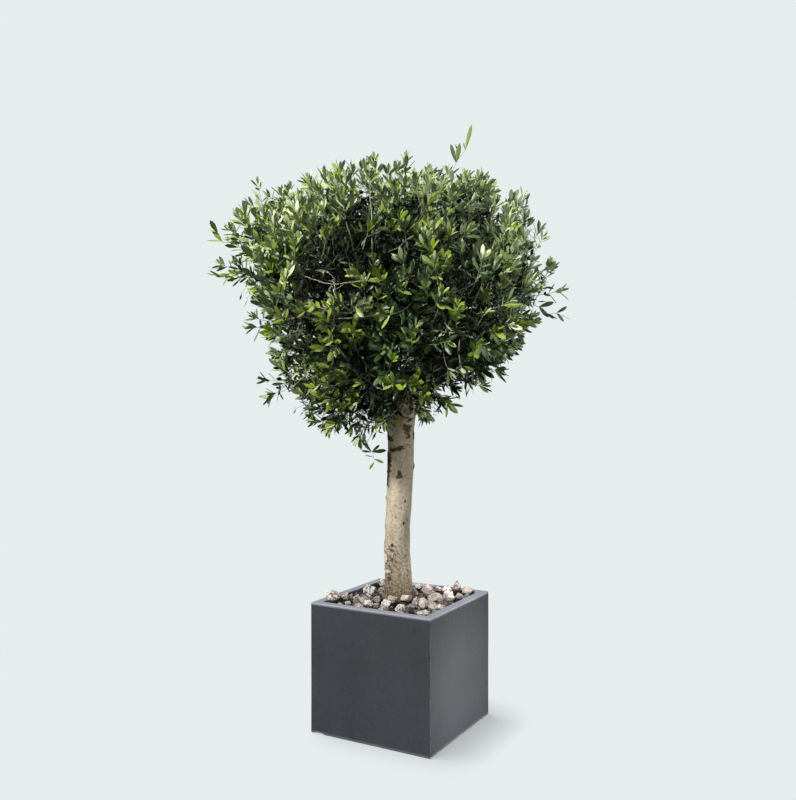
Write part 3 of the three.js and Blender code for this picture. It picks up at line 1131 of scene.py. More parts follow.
FORK_DEPTH = 0.05  # how far below the trunk's top the boughs start
INSIDE = (0.08, 0.30)  # depths between which twigs are more and more inside the crown
END_SHARE = 0.80  # of twig ends that bear a shoot at the surface
END_FEWER = 0.50  # and how much smaller that share is inside
END_LENGTH = (0.03, 0.17)
SIDE_SHARE = 0.12  # of thin twigs' points that bear a side shoot
SIDE_RADIUS, SIDE_DEPTH = 0.0026, 0.22  # the thickest and the deepest twigs that do
SIDE_LENGTH = (0.03, 0.085)
OLD_RADIUS = 0.0034  # the thickest twigs with old leaves
DEAD_SHARE = 0.55  # of their points that bear a dead twig
PALE_DEPTH, PALE_SHARE = 0.17, 0.75  # twigs that come this near the surface are mostly pale
LEAF_PARTS = 4  # the leaves are joined into this many pieces, by bearing
STOUT = 0.012  # limbs over this radius have more sides
SIDES = ((0.003, 6), (0.0019, 4), (0.0, 3))  # of a twig with a radius over each of these


class Crown:
    """All that grows from the fork: points, the limbs through them and what they bear."""

    def __init__(self):
        self.rng = np.random.default_rng(GROWTH_SEED)
        space = CrownSpace()
        low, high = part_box("trunk")
        self.fork = np.array([(low.x + high.x) / 2, (low.y + high.y) / 2, high.z - FORK_DEPTH])
        skeleton = Skeleton()
        self.fixed = seed_limbs(skeleton, self.fork)
        grow(skeleton, crown_targets(space, self.rng), self.rng)
        relax(skeleton, self.fixed)
        self.radii = pipe_radii(skeleton)
        self.runs, self.children = chains(skeleton, self.radii)
        self.places, self.parents = np.array(skeleton.places), skeleton.parents
        self.depth, self.facing = space.look(self.places)
        self.vigours = field(self.places, VIGOUR_SCALE, 7.0)
        self.foliage = Foliage(space, self.rng)
        self.boughs, self.pale, self.dark = Tubes(), Tubes(), Tubes()

    def lay_limbs(self):
        """Thick limbs have bark, and thin ones are mostly pale near the crown's surface and dark deeper
        in; the dark bark is partly older bark, partly painted shade.
        """
        for run in self.runs:
            line, girth = self.places[run], self.radii[run].copy()
            girth[0] = girth[1]
            thick = int((girth > THICK).sum())
            if thick >= 2:
                limb, widths = finer(line[: thick + 1], girth[: thick + 1])
                sides = 18 if girth[0] > STOUT else 12
                self.boughs.add(limb, widths, sides, thick + 1 >= len(line), bark_relief)
                line, girth, run = line[thick:], girth[thick:], run[thick:]
            if len(line) < 2:
                continue
            sides = next(sides for radius, sides in SIDES if girth[0] > radius)
            outer = self.depth[run].min() < PALE_DEPTH and self.rng.random() < PALE_SHARE
            (self.pale if outer else self.dark).add(line, girth, sides)

    def leaf_out(self, index):
        """The shoots and the old leaves at one point of the tree."""
        rng, foliage, radius = self.rng, self.foliage, self.radii[index]
        place, outward, depth = self.places[index], self.facing[index], self.depth[index]
        tangent = unit(place - self.places[self.parents[index]])
        ends, hides = not self.children[index], clearing(place)
        lift = 1.0 + 0.5 * min(outward[2], 0.0)
        rising = max(outward[2], 0.0)
        inside = smoothstep(*INSIDE, depth)
        if ends and rng.random() < END_SHARE - END_FEWER * inside:
            vigour = rng.uniform(0.0, 1.0)
            direction = tangent * 0.35 + outward * 0.5 + UP * rng.uniform(0.1, 1.0) * lift
            direction = direction + rng.normal(0, 0.3, 3)
            reach = depth * rng.uniform(0.55, 0.95) - 0.02 * rising
            reach += (0.10 + 0.08 * rising) * self.vigours[index] + rng.normal(0.0, 0.015)
            if not hides and place[2] > LOWEST_SHOOT:
                length = np.clip(reach, *END_LENGTH)
                foliage.shoot(place, direction, length, vigour, TWIG_TIP, outward)
        elif radius < SIDE_RADIUS and depth < SIDE_DEPTH and rng.random() < SIDE_SHARE and not hides:
            out = about(tangent, rng.uniform(0.0, 2.0 * math.pi))
            direction = tangent * 0.3 + out * 0.5 + outward * 0.45 + UP * 0.8 * lift
            length = rng.uniform(*SIDE_LENGTH)
            foliage.shoot(place, direction, length, rng.uniform(0, 1.0), 0.001, outward)
        bare = rng.random() < total(BARE, place @ ACROSS) or place[2] < LOWEST_SHOOT
        if radius < OLD_RADIUS and not bare and not (depth < 0.2 and hides):
            count = 1 + int(rng.random() < 0.6) + (2 if ends else 0)
            foliage.old_leaves(place, tangent, count, inside)
            if rng.random() < DEAD_SHARE:
                twigs = self.dark if rng.random() < 0.6 else self.pale
                foliage.old_leaves(*bare_twig(twigs, place, tangent, rng), 2, inside)

    def build(self):
        pale, dark = (Finish(name, color, 0.8, 0.2).material for name, color in TWIG_BARKS.items())
        on_tree(self.boughs.build("boughs", bough_bark()), "bough", *BOUGHS)
        on_tree(self.pale.build("outer_twigs", pale), "bough")
        on_tree(self.dark.build("inner_twigs", dark), "bough")
        on_tree(self.foliage.stems.build("shoot_stems", pale), "bough")
        rows = np.array(self.foliage.leaves.rows)
        bearing = np.arctan2(rows[:, 1] - self.fork[1], rows[:, 0] - self.fork[0])
        sector = np.floor((bearing + math.pi) / (2.0 * math.pi) * LEAF_PARTS).astype(int) % LEAF_PARTS
        groups = [(f"leaves_{k + 1}", self.foliage.leaves, rows[sector == k]) for k in range(LEAF_PARTS)]
        for k, half in enumerate(np.array_split(np.array(self.foliage.inner.rows), 2)):
            groups.append((f"inner_leaves_{k + 1}", self.foliage.inner, half))
        materials = leaf_materials()
        made = [on_tree(kind.build(name, part, materials), "foliage") for name, kind, part in groups]
        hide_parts(*MASSES, *SPRAYS)


def make_crown():
    crown = Crown()
    crown.lay_limbs()
    for index in range(crown.fixed, len(crown.places)):
        crown.leaf_out(index)
    for name in SPRAYS:
        feature_spray(crown.foliage, name, crown.places, crown.pale)
    front_stems(crown.foliage, crown.places, crown.pale)
    crown.build()


# Three of the shoots that stand clear of the crown: where along them the pairs of leaves sit, the
# leaves' length, the angle between leaf and shoot, and the tones in turn.
SPRAY_HABITS = {
    "left_high_spray": ((0.1, 0.35, 0.6, 0.8), 0.058, 0.5, (YOUNG, BRIGHT)),
    "left_low_spray": ((0.1, 0.4, 0.7), 0.058, 0.5, (YOUNG, MIDDLE)),
    "right_spray": ((0.1, 0.35, 0.62), 0.055, 0.55, (GREY, MIDDLE)),
}
# The other two, one over the crown's top and one that hangs under it, leaf by leaf: how far along the
# sprig it sits, its angle from level in the main view, its length, its width as a share of that, and
# its tone.
SPRIGS = {
    "top_spray": (
        (0.35, 107, 0.075, 0.22, GREY),
        (0.35, 79, 0.077, 0.25, MIDDLE),
        (0.47, 113, 0.052, 0.10, DARK),
        (0.60, 76, 0.099, 0.16, BRIGHT),
        (0.60, 104, 0.030, 0.16, GREY),
    ),
    "low_spray": (
        (0.62, 132, 0.050, 0.26, DARK),
        (0.62, 174, 0.040, 0.24, DARK),
        (0.62, 42, 0.040, 0.28, DARK),
        (0.62, 6, 0.056, 0.30, DARK),
        (0.74, 168, 0.034, 0.12, DARK),
        (0.78, -24, 0.042, 0.26, YOUNG),
        (0.84, -122, 0.036, 0.28, YOUNG),
    ),
}
SPRIG_LEAN = {"top_spray": -0.055}  # how far across the foot of a sprig is drawn


def feature_spray(foliage, name, places, twigs):
    """A shoot along one of the CAD model's sprays, from the nearest twig."""
    rng = foliage.rng
    sprig = SPRIGS.get(name)
    line = limb_line(name, 6)
    if np.linalg.norm(line[0] - HEART) > np.linalg.norm(line[-1] - HEART):
        line = line[::-1]
    lean = (1.0 - np.linspace(0.0, 1.0, len(line))) ** 2 * SPRIG_LEAN.get(name, 0.0)
    line = line + lean[:, None] * ACROSS
    start = places[np.linalg.norm(places - line[0], axis=1).argmin()]
    whole = np.concatenate([start[None], line[:-1] if sprig else line])
    twigs.add(whole, np.linspace(0.0016, 0.0008, len(whole)), 4)
    turn = rng.uniform(0, math.pi)
    length = stations(line)[-1]
    if sprig:
        for share, angle, size, ratio, tone in sprig:
            along = math.cos(math.radians(angle)) * ACROSS + math.sin(math.radians(angle)) * UP
            along = along + rng.normal(0.0, 0.12) * DEEP
            place = point_along(line, share * length)
            foliage.leaves.add(place, along, -DEEP + 0.4 * UP, size, size * ratio, 0.05, tone)
        return
    shares, size, spread, tones = SPRAY_HABITS[name]
    for count, share in enumerate(shares):
        behind, place, ahead = (point_along(line, share * length + shift) for shift in (-0.02, 0.0, 0.02))
        foliage.pair(place, unit(ahead - behind), -DEEP, turn, size, spread, tones[count % 2], 0.0)
        turn += math.pi / 2


# ------------------------------------------------------------------ the trunk

TRUNK_AROUND = 120
TRUNK_LEVELS = 290
RAYS_AROUND = 24
LENTICELS_FROM = 1.00  # the height under which the bark is speckled
BLOTCHED_FROM = 0.76  # under this it is blotched with brown as well
FOOT_FROM = 0.62  # and under this it is rough and dark
WARP = 0.0035  # how far the outlines of marks stray
WAVES = 6  # how many waves round the trunk its sections are made of
KNEES = 5  # sections on either side over which they are smoothed

# Marks on the bark: torn rings, healed knots, burrs, small pits and bare wood. Each has an angle
# (degrees to the right of the side that the main view faces), a height, a half width and a half height.
RINGS = ((196, 0.905, 0.015, 0.019),)
KNOTS = ((-5, 0.951, 0.010, 0.016), (148, 1.040, 0.012, 0.014), (232, 0.700, 0.010, 0.013))
BURRS = ((84, 0.983, 0.011, 0.012), (-93, 0.860, 0.008, 0.010), (172, 0.790, 0.010, 0.011))
PITS = (
    (26, 0.852, 0.0035, 0.006),
    (9, 0.829, 0.0025, 0.003),
    (27, 0.772, 0.0035, 0.007),
    (74, 0.893, 0.0030, 0.005),
    (-22, 0.686, 0.0045, 0.008),
    (-38, 0.679, 0.0040, 0.004),
    (-40, 0.558, 0.0100, 0.009),
    (120, 0.640, 0.0060, 0.010),
    (205, 0.600, 0.0080, 0.007),
    (-128, 0.760, 0.0050, 0.008),
)
WOODS = ((-56, 0.637, 0.011, 0.019), (-48, 0.587, 0.017, 0.006), (215, 0.640, 0.010, 0.014))
# Cracks: from one angle to another, the heights at either end and the half widths there.
CRACKS = (
    (-56, -2, 1.044, 1.050, 0.0098, 0.0042),
    (-14, 44, 1.057, 1.066, 0.0028, 0.0014),
    (-8, 42, 1.049, 1.060, 0.0016, 0.0012),
    (-84, -52, 0.861, 0.860, 0.0012, 0.0006),
    (2, 22, 0.712, 0.710, 0.0012, 0.0008),
    (110, 190, 0.985, 0.972, 0.0030, 0.0012),
    (225, 262, 1.115, 1.128, 0.0040, 0.0014),
)
# Plates of old bark: a range of angles, a range of heights, and how much of each plate is left.
PLATES = (
    (-118, -46, 0.960, 1.036, 0.80),
    (-118, -54, 0.905, 0.965, 0.75),
    (-112, -34, 1.078, 1.116, 0.80),
    (-96, -22, 1.132, 1.162, 0.55),
    (6, 46, 1.122, 1.140, 0.80),
    (16, 42, 1.084, 1.124, 0.62),
    (58, 92, 1.084, 1.116, 0.85),
    (-116, -72, 0.744, 0.784, 0.70),
    (-116, -66, 0.655, 0.702, 0.62),
    (-48, -4, 0.600, 0.694, 0.34),
    (-74, -36, 0.540, 0.604, 0.34),
    (0, 66, 0.560, 0.640, 0.20),
    (24, 58, 0.760, 0.800, 0.22),
    (120, 158, 0.840, 0.940, 0.80),
    (200, 236, 1.000, 1.090, 0.80),
)


def noise_field(points, scale, octaves=3, shift=0.0):
    """Layered noise at each point, about -1 to 1."""
    total = np.zeros(len(points))
    weight, size = 1.0, scale
    for _ in range(octaves):
        total += weight * field(points, size, shift)
        weight *= 0.5
        size *= 2.1
    return total


def trunk_foot():
    """The middle of the trunk's flat foot, across the ground."""
    vertices, _ = mesh_arrays("trunk")
    return vertices[vertices[:, 2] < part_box("trunk")[0].z + 0.0005][:, :2].mean(0)


def smoothed(row):
    kernel = np.hanning(2 * KNEES + 1)
    return np.convolve(np.pad(row, KNEES, mode="edge"), kernel / kernel.sum(), mode="valid")


def trunk_sections():
    """The CAD trunk level by level: its middle, and the waves that its radius is made of."""
    vertices, triangles = mesh_arrays("trunk")
    body = BVHTree.FromPolygons(vertices.tolist(), triangles.tolist())
    low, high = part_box("trunk")
    angles = np.arange(RAYS_AROUND) * 2.0 * math.pi / RAYS_AROUND
    rays = [Vector((math.cos(a), math.sin(a), 0.0)) for a in angles]
    middle = trunk_foot()
    middles, spectra = [], []
    for level in np.linspace(low.z + 0.001, high.z - 0.001, TRUNK_LEVELS):
        for _ in range(2):
            origin = Vector((*middle, level))
            reach = np.array([body.ray_cast(origin, ray)[3] or 0.05 for ray in rays])
            middle[0] += 2.0 * (reach * np.cos(angles)).mean() * 0.9
            middle[1] += 2.0 * (reach * np.sin(angles)).mean() * 0.9
        middles.append((*middle, level))
        spectra.append(np.fft.rfft(reach)[:WAVES] / RAYS_AROUND)
    middles, spectra = np.array(middles), np.array(spectra)
    middles[:, 0], middles[:, 1] = smoothed(middles[:, 0]), smoothed(middles[:, 1])
    waves = [smoothed(column.real) + 1j * smoothed(column.imag) for column in spectra.T]
    return middles, np.stack(waves, 1)


def bark_marks(turn, up, radius, points):
    """Relief in metres, and how much scar and bare wood there is, at each point of the trunk."""
    relief, scar, wood = np.zeros((3, len(up)))
    warp_across, warp_up = (WARP * noise_field(points, 55.0, 3, shift) for shift in (3.0, 17.0))

    def turned(angle):
        return (turn - angle + 180.0) % 360.0 - 180.0

    def spots(marks):
        for angle, height, half_width, half_height in marks:
            across = (np.radians(turned(angle)) * radius + warp_across) / half_width
            along = (up - height + warp_up) / half_height
            yield across, along, np.hypot(across, along), half_width, half_height

    for across, along, reach, _, _ in spots(RINGS):
        ring = bell(reach - 1.0, 0.34) * smoothstep(0.2, 0.8, np.hypot(across + 0.8, along + 0.75))
        relief += 0.0014 * bell(reach, 0.7) + 0.0012 * bell(reach - 1.5, 0.3) - 0.0026 * ring
        scar += ring
    for across, along, reach, half_width, half_height in spots(KNOTS):
        lobes = np.sin(3.0 * np.arctan2(along * half_height, across * half_width) - 0.6)
        relief += 0.0030 * bell(reach - 1.15, 0.4) - 0.0030 * bell(reach, 0.6)
        scar += 1.1 * smoothstep(1.25, 0.75, reach + 0.25 * lobes)
    for _, _, reach, _, _ in spots(BURRS):
        relief += 0.0052 * bell(reach, 0.85)
        scar += 0.55 * bell(reach - 0.9, 0.35)
    for _, _, reach, half_width, _ in spots(PITS):
        relief -= 0.9 * bell(reach, 0.8) * min(half_width, 0.004)
        scar += 1.1 * smoothstep(1.25, 0.6, reach)
    for _, _, reach, _, _ in spots(WOODS):
        bare = smoothstep(1.1, 0.85, reach)
        wood += bare
        relief += 0.0010 * bare + 0.0016 * bell(reach - 1.15, 0.2)
        scar += 0.8 * bell(reach - 1.2, 0.16)
    for first, last, start, end, wide, thin in CRACKS:
        share = ((turn - first) % 360.0) / (last - first)
        inside = smoothstep(-0.04, 0.04, share) * smoothstep(1.06, 0.94, share)
        above = up - (start + (end - start) * share + 0.0045 * np.sin(share * 11.0) * share)
        half = wide + (thin - wide) * np.clip(share, 0, 1)
        half = np.maximum(half * (1.0 + 0.9 * noise_field(points, 70.0, 2, 29.0)), 0.0004)
        groove = inside * bell(above + 0.7 * warp_up, half)
        relief += 0.0010 * inside * bell(above + 1.8 * half, half) - 0.0026 * groove
        scar += 1.2 * groove
    crumble = noise_field(points, 110.0, 3, 53.0)
    ragged = 7.0 * noise_field(points, 42.0, 2, 41.0) + 4.0 * np.sin(up * 330.0)
    for first, last, low, high, left in PLATES:
        inside = smoothstep(-3, 3, turned(first) + ragged) * smoothstep(3, -3, turned(last) + ragged)
        inside *= smoothstep(-0.004, 0.004, up - low + 2 * warp_up)
        inside *= smoothstep(0.004, -0.004, up - high + 2 * warp_up)
        relief += inside * (0.0016 + 0.0012 * crumble) * left
        scar += inside * (left + 0.45 * crumble)
    return relief, np.clip(scar, 0.0, 1.0), np.clip(wood, 0.0, 1.0)


def make_trunk():
    middles, spectra = trunk_sections()
    turns = np.arange(TRUNK_AROUND) * 2.0 * math.pi / TRUNK_AROUND
    order = np.arange(WAVES)
    waves = np.exp(1j * turns[:, None] * order[None]) * np.where(order == 0, 1.0, 2.0)
    base = (spectra @ waves.T).real
    top_share = np.linspace(0.0, 1.0, TRUNK_LEVELS)[:, None]
    base = base * (1.0 - 0.45 * smoothstep(0.975, 1.0, top_share))
    out = np.stack([np.cos(turns), np.sin(turns), np.zeros(TRUNK_AROUND)], 1)
    points = (middles[:, None, :] + base[:, :, None] * out[None]).reshape(-1, 3)
    up = points[:, 2]
    turn = np.tile(np.degrees(np.arctan2(out @ ACROSS, out @ -DEEP)), TRUNK_LEVELS)
    relief, scar, wood = bark_marks(turn, up, base.reshape(-1), points)
    rough = smoothstep(FOOT_FROM, 0.47, up)
    speckled = smoothstep(LENTICELS_FROM, 0.80, up)
    blotched = smoothstep(BLOTCHED_FROM, 0.60, up) + 0.7 * smoothstep(1.10, 1.17, up)
    fissures = noise_field(points * np.array([1.0, 1.0, 0.28]), 95.0, 3, 61.0)
    grains = noise_field(points, 210.0, 2, 71.0)
    relief += 0.0016 * noise_field(points, 14.0, 2, 5.0) + fissures * (0.0004 + 0.0018 * rough)
    relief += grains * (0.0002 + 0.0007 * rough + 0.0003 * speckled)
    points = points + np.tile(out, (TRUNK_LEVELS, 1)) * relief[:, None]

    vertices = np.concatenate([points, middles[:1], middles[-1:] + UP * 0.004])
    foot, tip = len(points), len(points) + 1
    caps = [fan(0, foot, TRUNK_AROUND, True), fan(foot - TRUNK_AROUND, tip, TRUNK_AROUND)]
    faces = [sleeve(0, TRUNK_LEVELS, TRUNK_AROUND), np.concatenate(caps)]
    trunk = mesh_object("trunk_bark", vertices, faces, [bark_material()])
    layers = {"scar": scar, "wood": wood, "rough": rough, "speckled": speckled, "blotched": blotched}
    for name, values in layers.items():
        add_attribute(trunk, name, np.append(values, (values[0], values[-1])))
    on_tree(trunk, "bark", "trunk")


def bark_material():
    made = Finish("olive_bark", srgb(190, 175, 148), 0.84, 0.25)
    speckled, blotched, scar = (made.attribute(name) for name in ("speckled", "blotched", "scar"))
    color = made.blend(made.noise(7.0, 3.0), 0.36, 0.64, srgb(157, 147, 129), srgb(191, 180, 161))
    streak = made.noise(26.0, 4.0, vector=made.stretched(1.0, 1.0, 0.3))
    color = made.mottle(color, streak, 0.46, 0.62, 0.55, srgb(128, 117, 99))
    color = made.mottle(color, made.noise(120.0, 4.0, 0.7), 0.50, 0.64, 0.62, srgb(108, 96, 78))
    color = made.mottle(color, made.noise(60.0, 3.0), 0.56, 0.66, 0.40, srgb(140, 113, 92))
    color = made.tint(color, blotched, 0.42, srgb(128, 117, 98))
    here = made.rise(made.noise(38.0, 2.0), 0.46, 0.58)
    lenticels = made.dots(330.0, made.stretched(1.0, 1.0, 1.7), 0.16, 0.30, here, speckled)
    color = made.tint(color, lenticels, 0.90, srgb(74, 60, 48))
    here = made.rise(made.noise(24.0, 3.0), 0.44, 0.56)
    pores = made.dots(150.0, made.stretched(1.0, 1.0, 1.4), 0.15, 0.27, here, speckled)
    color = made.tint(color, pores, 0.80, srgb(82, 68, 52))
    blots = made.times(made.rise(made.noise(95.0, 4.0, 0.7), 0.50, 0.60), blotched)
    color = made.tint(color, blots, 0.95, srgb(84, 72, 56))
    # The foot's dark, mottled tone is partly its rough bark's own colour and partly painted shade.
    foot_tone_and_shade = made.blend(made.noise(130.0, 5.0, 0.68), 0.40, 0.60, srgb(40, 33, 24), srgb(124, 112, 90))
    color = made.tint(color, made.attribute("rough"), 1.3, foot_tone_and_shade)
    scar_tone = made.blend(made.noise(150.0, 4.0), 0.40, 0.66, srgb(44, 34, 27), srgb(104, 84, 66))
    wander = made.times(made.math("SUBTRACT", made.noise(125.0, 4.0, 0.7), 0.5), 1.7)
    scarred = made.rise(made.math("ADD", scar, wander), 0.36, 0.54)
    color = made.mix(made.times(scarred, made.rise(scar, 0.04, 0.16)), color, scar_tone)
    wood_tone = made.blend(made.noise(190.0, 3.0), 0.40, 0.62, srgb(164, 156, 136), srgb(206, 198, 176))
    made.color(made.mix(made.attribute("wood"), color, wood_tone))
    grain = made.noise(900.0, 3.0, vector=made.stretched(1.0, 1.0, 0.25))
    made.bump(made.math("ADD", made.noise(420.0, 4.0), grain), 0.0009, 0.8)
    return made.material


# ------------------------------------------------------------------ the planter

RIM_ROUND = 0.0026
CORNER_ROUND = 0.005
PLANTER_FIT = 0.0004  # between its inside and the soil
UNEVEN = 0.0005  # how far its faces stray inwards
CHIP_UP, CHIP_IN = 0.0035, 0.0018  # chips along its foot
NICK = 0.0007  # nicks along its rim
PER_SIDE = 44  # points of a ring, and round each of its corners
PER_CORNER = 5


def square_ring(half, corner):
    """Points round a square with rounded corners, and their outward directions."""
    flat = half - corner
    sides = [((half, along), (1.0, 0.0)) for along in np.linspace(-flat, flat, PER_SIDE)]
    for bend in np.linspace(0.0, math.pi / 2, PER_CORNER + 2)[1:-1]:
        way = np.array([math.cos(bend), math.sin(bend)])
        sides.append((flat + corner * way, way))
    points, outward = [], []
    for quarter in range(4):
        angle = quarter * math.pi / 2
        turn = np.array([[math.cos(angle), -math.sin(angle)], [math.sin(angle), math.cos(angle)]])
        points += [turn @ place for place, _ in sides]
        outward += [turn @ way for _, way in sides]
    return np.array(points), np.array(outward)


def planter_profile(half, height, hollow, floor):
    """From the underside's edge up the wall, over the rim and down inside: reach, level, and how much
    lighter the colour is: wear at the chipped foot, painted light and sheen over the rim.
    """
    sine = [math.sin(math.pi / 2 * k / 4) for k in range(5)]
    rise = [math.cos(math.pi / 2 * k / 4) for k in range(5)]
    round_off = [(RIM_ROUND * (1 - a), RIM_ROUND * (1 - b)) for a, b in zip(sine, rise)]
    under = [(half - inward, level, 0.35) for inward, level in round_off]
    wall = [(half, level, 0.0) for level in np.linspace(0.012, height - 0.010, 26)]
    outer = [(half - inward, height - down, 1.0) for down, inward in round_off]
    across = [(half + (hollow - half) * share, height, 0.94) for share in (0.12, 0.3, 0.5, 0.7, 0.88)]
    inner = [(hollow + inward, height - down, 0.9) for inward, down in round_off]
    inside = [(hollow, level, 0.0) for level in np.linspace(height - 0.010, floor, 8)]
    return under + wall + outer + across + inner + inside


def uneven(points, out, level, worn_and_sheen):
    """One ring of the planter with its faces uneven, its rim nicked and its foot chipped."""
    points = points + out * UNEVEN * (field(points, 5.0, 83.0) - 0.9)[:, None] * (level > 0.0)
    chip = smoothstep(0.34, 0.50, field(points * np.array([1.0, 1.0, 0.0]), 11.0, 91.0))
    chip *= smoothstep(0.014, 0.0, level) * (level < 0.012)
    points[:, 2] += CHIP_UP * chip
    points = points - out * (CHIP_IN * chip)[:, None]
    nick = smoothstep(0.34, 0.48, field(points, 38.0, 97.0)) * (worn_and_sheen > 0.95)
    return points - out * (NICK * nick)[:, None], chip


def make_planter():
    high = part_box("planter")[1]
    ball_low, ball_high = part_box("root_ball")
    hollow, floor = ball_high.x + PLANTER_FIT, ball_low.z - PLANTER_FIT
    rings, wear_and_sheen = [], []
    for reach, level, worn_and_sheen in planter_profile(high.x, high.z, hollow, floor):
        corner = CORNER_ROUND if reach > hollow + RIM_ROUND else CORNER_ROUND * 0.8
        flat, outward = square_ring(reach, corner)
        points = np.column_stack([flat, np.full(len(flat), level)])
        points, chip = uneven(points, np.column_stack([outward, np.zeros(len(flat))]), level, worn_and_sheen)
        rings.append(points)
        wear_and_sheen.append(worn_and_sheen + 0.25 * chip)
    around = len(rings[0])
    vertices = np.concatenate([*rings, [[0.0, 0.0, 0.0], [0.0, 0.0, floor]]])
    under, bottom = len(vertices) - 2, len(vertices) - 1
    caps = np.concatenate([fan(0, under, around, True), fan(under - around, bottom, around)])
    faces = [sleeve(0, len(rings), around), caps]
    planter = mesh_object("planter_shell", vertices, faces, [planter_material()])
    add_attribute(planter, "wear_and_sheen", np.append(np.concatenate(wear_and_sheen), (0.0, 0.0)))
    on_tree(planter, "planter", "planter")


def planter_material():
    made = Finish("cast_fibre_clay", srgb(45, 48, 53), 0.62, 0.4)
    cloud = made.rise(made.noise(4.2, 4.0, 0.6), 0.34, 0.68)
    color = made.mix(cloud, srgb(37, 41, 46), srgb(44, 47, 55))
    streak = made.noise(9.0, 3.0, vector=made.stretched(1.0, 1.0, 0.12))
    color = made.mottle(color, streak, 0.42, 0.62, 0.25, srgb(53, 55, 58))
    color = made.mottle(color, made.noise(330.0, 3.0, 0.7), 0.35, 0.70, 0.12, srgb(78, 80, 87))
    # Lighter over the rim, which faces up: painted light and sheen. Lighter at the chipped foot: wear.
    worn_and_sheen = made.mix(cloud, srgb(124, 126, 137), srgb(136, 138, 148))
    color = made.mix(made.attribute("wear_and_sheen"), color, worn_and_sheen)
    pores = made.dots(26.0, None, 0.03, 0.045)
    made.color(made.tint(color, pores, 0.8, srgb(26, 27, 30)))
    made.roughness(made.ramp(made.noise(60.0, 3.0), ((0.3, 0.54), (0.7, 0.7))))
    made.bump(made.math("SUBTRACT", made.times(made.noise(240.0, 4.0), 0.25), pores), 0.0010, 0.6)
    return made.material


# ------------------------------------------------------------------ soil and stones

SOIL_CELLS = 110  # points along each side of its top


def make_soil():
    low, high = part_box("root_ball")
    side = np.linspace(low.x, high.x, SOIL_CELLS)
    x, y = np.meshgrid(side, side, indexing="ij")
    flat = np.stack([x.ravel(), y.ravel(), np.zeros(x.size)], 1)
    level = high.z + 0.0045 * noise_field(flat, 18.0, 3, 5.0) + 0.0022 * noise_field(flat, 120.0, 2, 9.0)
    top = flat + UP * level[:, None]
    index = np.arange(x.size).reshape(SOIL_CELLS, SOIL_CELLS)
    quads = np.stack([index[:-1, :-1], index[1:, :-1], index[1:, 1:], index[:-1, 1:]], -1).reshape(-1, 4)
    edge = np.concatenate([index[:, 0], index[-1, 1:], index[-2::-1, -1], index[0, -2:0:-1]])
    foot = top[edge] * np.array([1.0, 1.0, 0.0]) + UP * low.z
    base, around = len(top), len(edge)
    walls = band(base, 0, around)
    walls[:, 2:] = edge[walls[:, 2:]]
    vertices = np.concatenate([top, foot, [[0.0, 0.0, low.z]]])
    faces = [np.concatenate([quads, walls]), fan(base, base + around, around, True)]
    on_tree(mesh_object("soil", vertices, faces, [soil_material()]), "soil", "root_ball")


# The soil's near-black tone is partly its own dark colour and partly painted shade in the gaps between the
# stones.
def soil_material():
    made = Finish("dark_soil", srgb(48, 40, 34), 0.95, 0.2)
    made.color(made.blend(made.noise(120.0, 4.0, 0.7), 0.35, 0.65, srgb(9, 7, 6), srgb(28, 23, 20)))
    made.bump(made.noise(260.0, 4.0), 0.0025, 1.0)
    return made.material


STONE_SEED = 23
# The stones on top of the heap: the middle, half sizes, how porous each is, and its tone on a scale
# from dark over pale to grey.
TOP_STONES = (
    (-0.187, -0.192, 0.500, (0.029, 0.025, 0.021), 1.0, 0.80),
    (0.142, 0.184, 0.499, (0.015, 0.016, 0.026), 0.7, 0.35),
    (0.180, 0.196, 0.486, (0.021, 0.019, 0.019), 0.2, 0.55),
    (-0.155, 0.015, 0.484, (0.026, 0.025, 0.028), 0.8, 0.80),
    (0.030, 0.145, 0.481, (0.030, 0.026, 0.024), 0.3, 0.55),
    (-0.012, 0.150, 0.489, (0.012, 0.011, 0.014), 0.6, 0.75),
    (-0.180, 0.155, 0.484, (0.018, 0.018, 0.017), 0.9, 0.80),
    (0.155, 0.085, 0.481, (0.028, 0.024, 0.020), 0.7, 0.62),
    (0.108, 0.165, 0.488, (0.020, 0.020, 0.017), 0.8, 0.66),
    (0.072, 0.158, 0.487, (0.014, 0.013, 0.012), 0.2, 0.55),
    (0.127, 0.030, 0.480, (0.028, 0.024, 0.021), 0.5, 0.25),
    (0.128, -0.068, 0.480, (0.018, 0.018, 0.023), 0.4, 0.60),
    (0.088, -0.054, 0.482, (0.016, 0.017, 0.022), 0.9, 0.70),
    (0.054, -0.068, 0.494, (0.023, 0.018, 0.017), 0.3, 0.60),
    (0.010, -0.092, 0.487, (0.019, 0.017, 0.018), 0.6, 0.35),
    (-0.002, -0.122, 0.477, (0.021, 0.018, 0.018), 0.5, 0.80),
    (-0.068, -0.072, 0.476, (0.014, 0.014, 0.018), 0.9, 0.10),
    (-0.190, -0.100, 0.479, (0.016, 0.016, 0.016), 0.3, 0.30),
    (-0.150, -0.085, 0.476, (0.016, 0.018, 0.018), 0.6, 0.55),
    (-0.069, -0.138, 0.475, (0.019, 0.016, 0.013), 0.4, 0.80),
    (-0.139, -0.169, 0.474, (0.016, 0.014, 0.012), 0.3, 0.35),
    (0.175, -0.076, 0.478, (0.017, 0.016, 0.013), 0.3, 0.40),
    (0.178, -0.160, 0.476, (0.022, 0.018, 0.014), 0.4, 0.75),
)
BED_STEP = 0.050  # a bed of stones in rows this far apart lies under the others
BED_RADIUS = 0.019
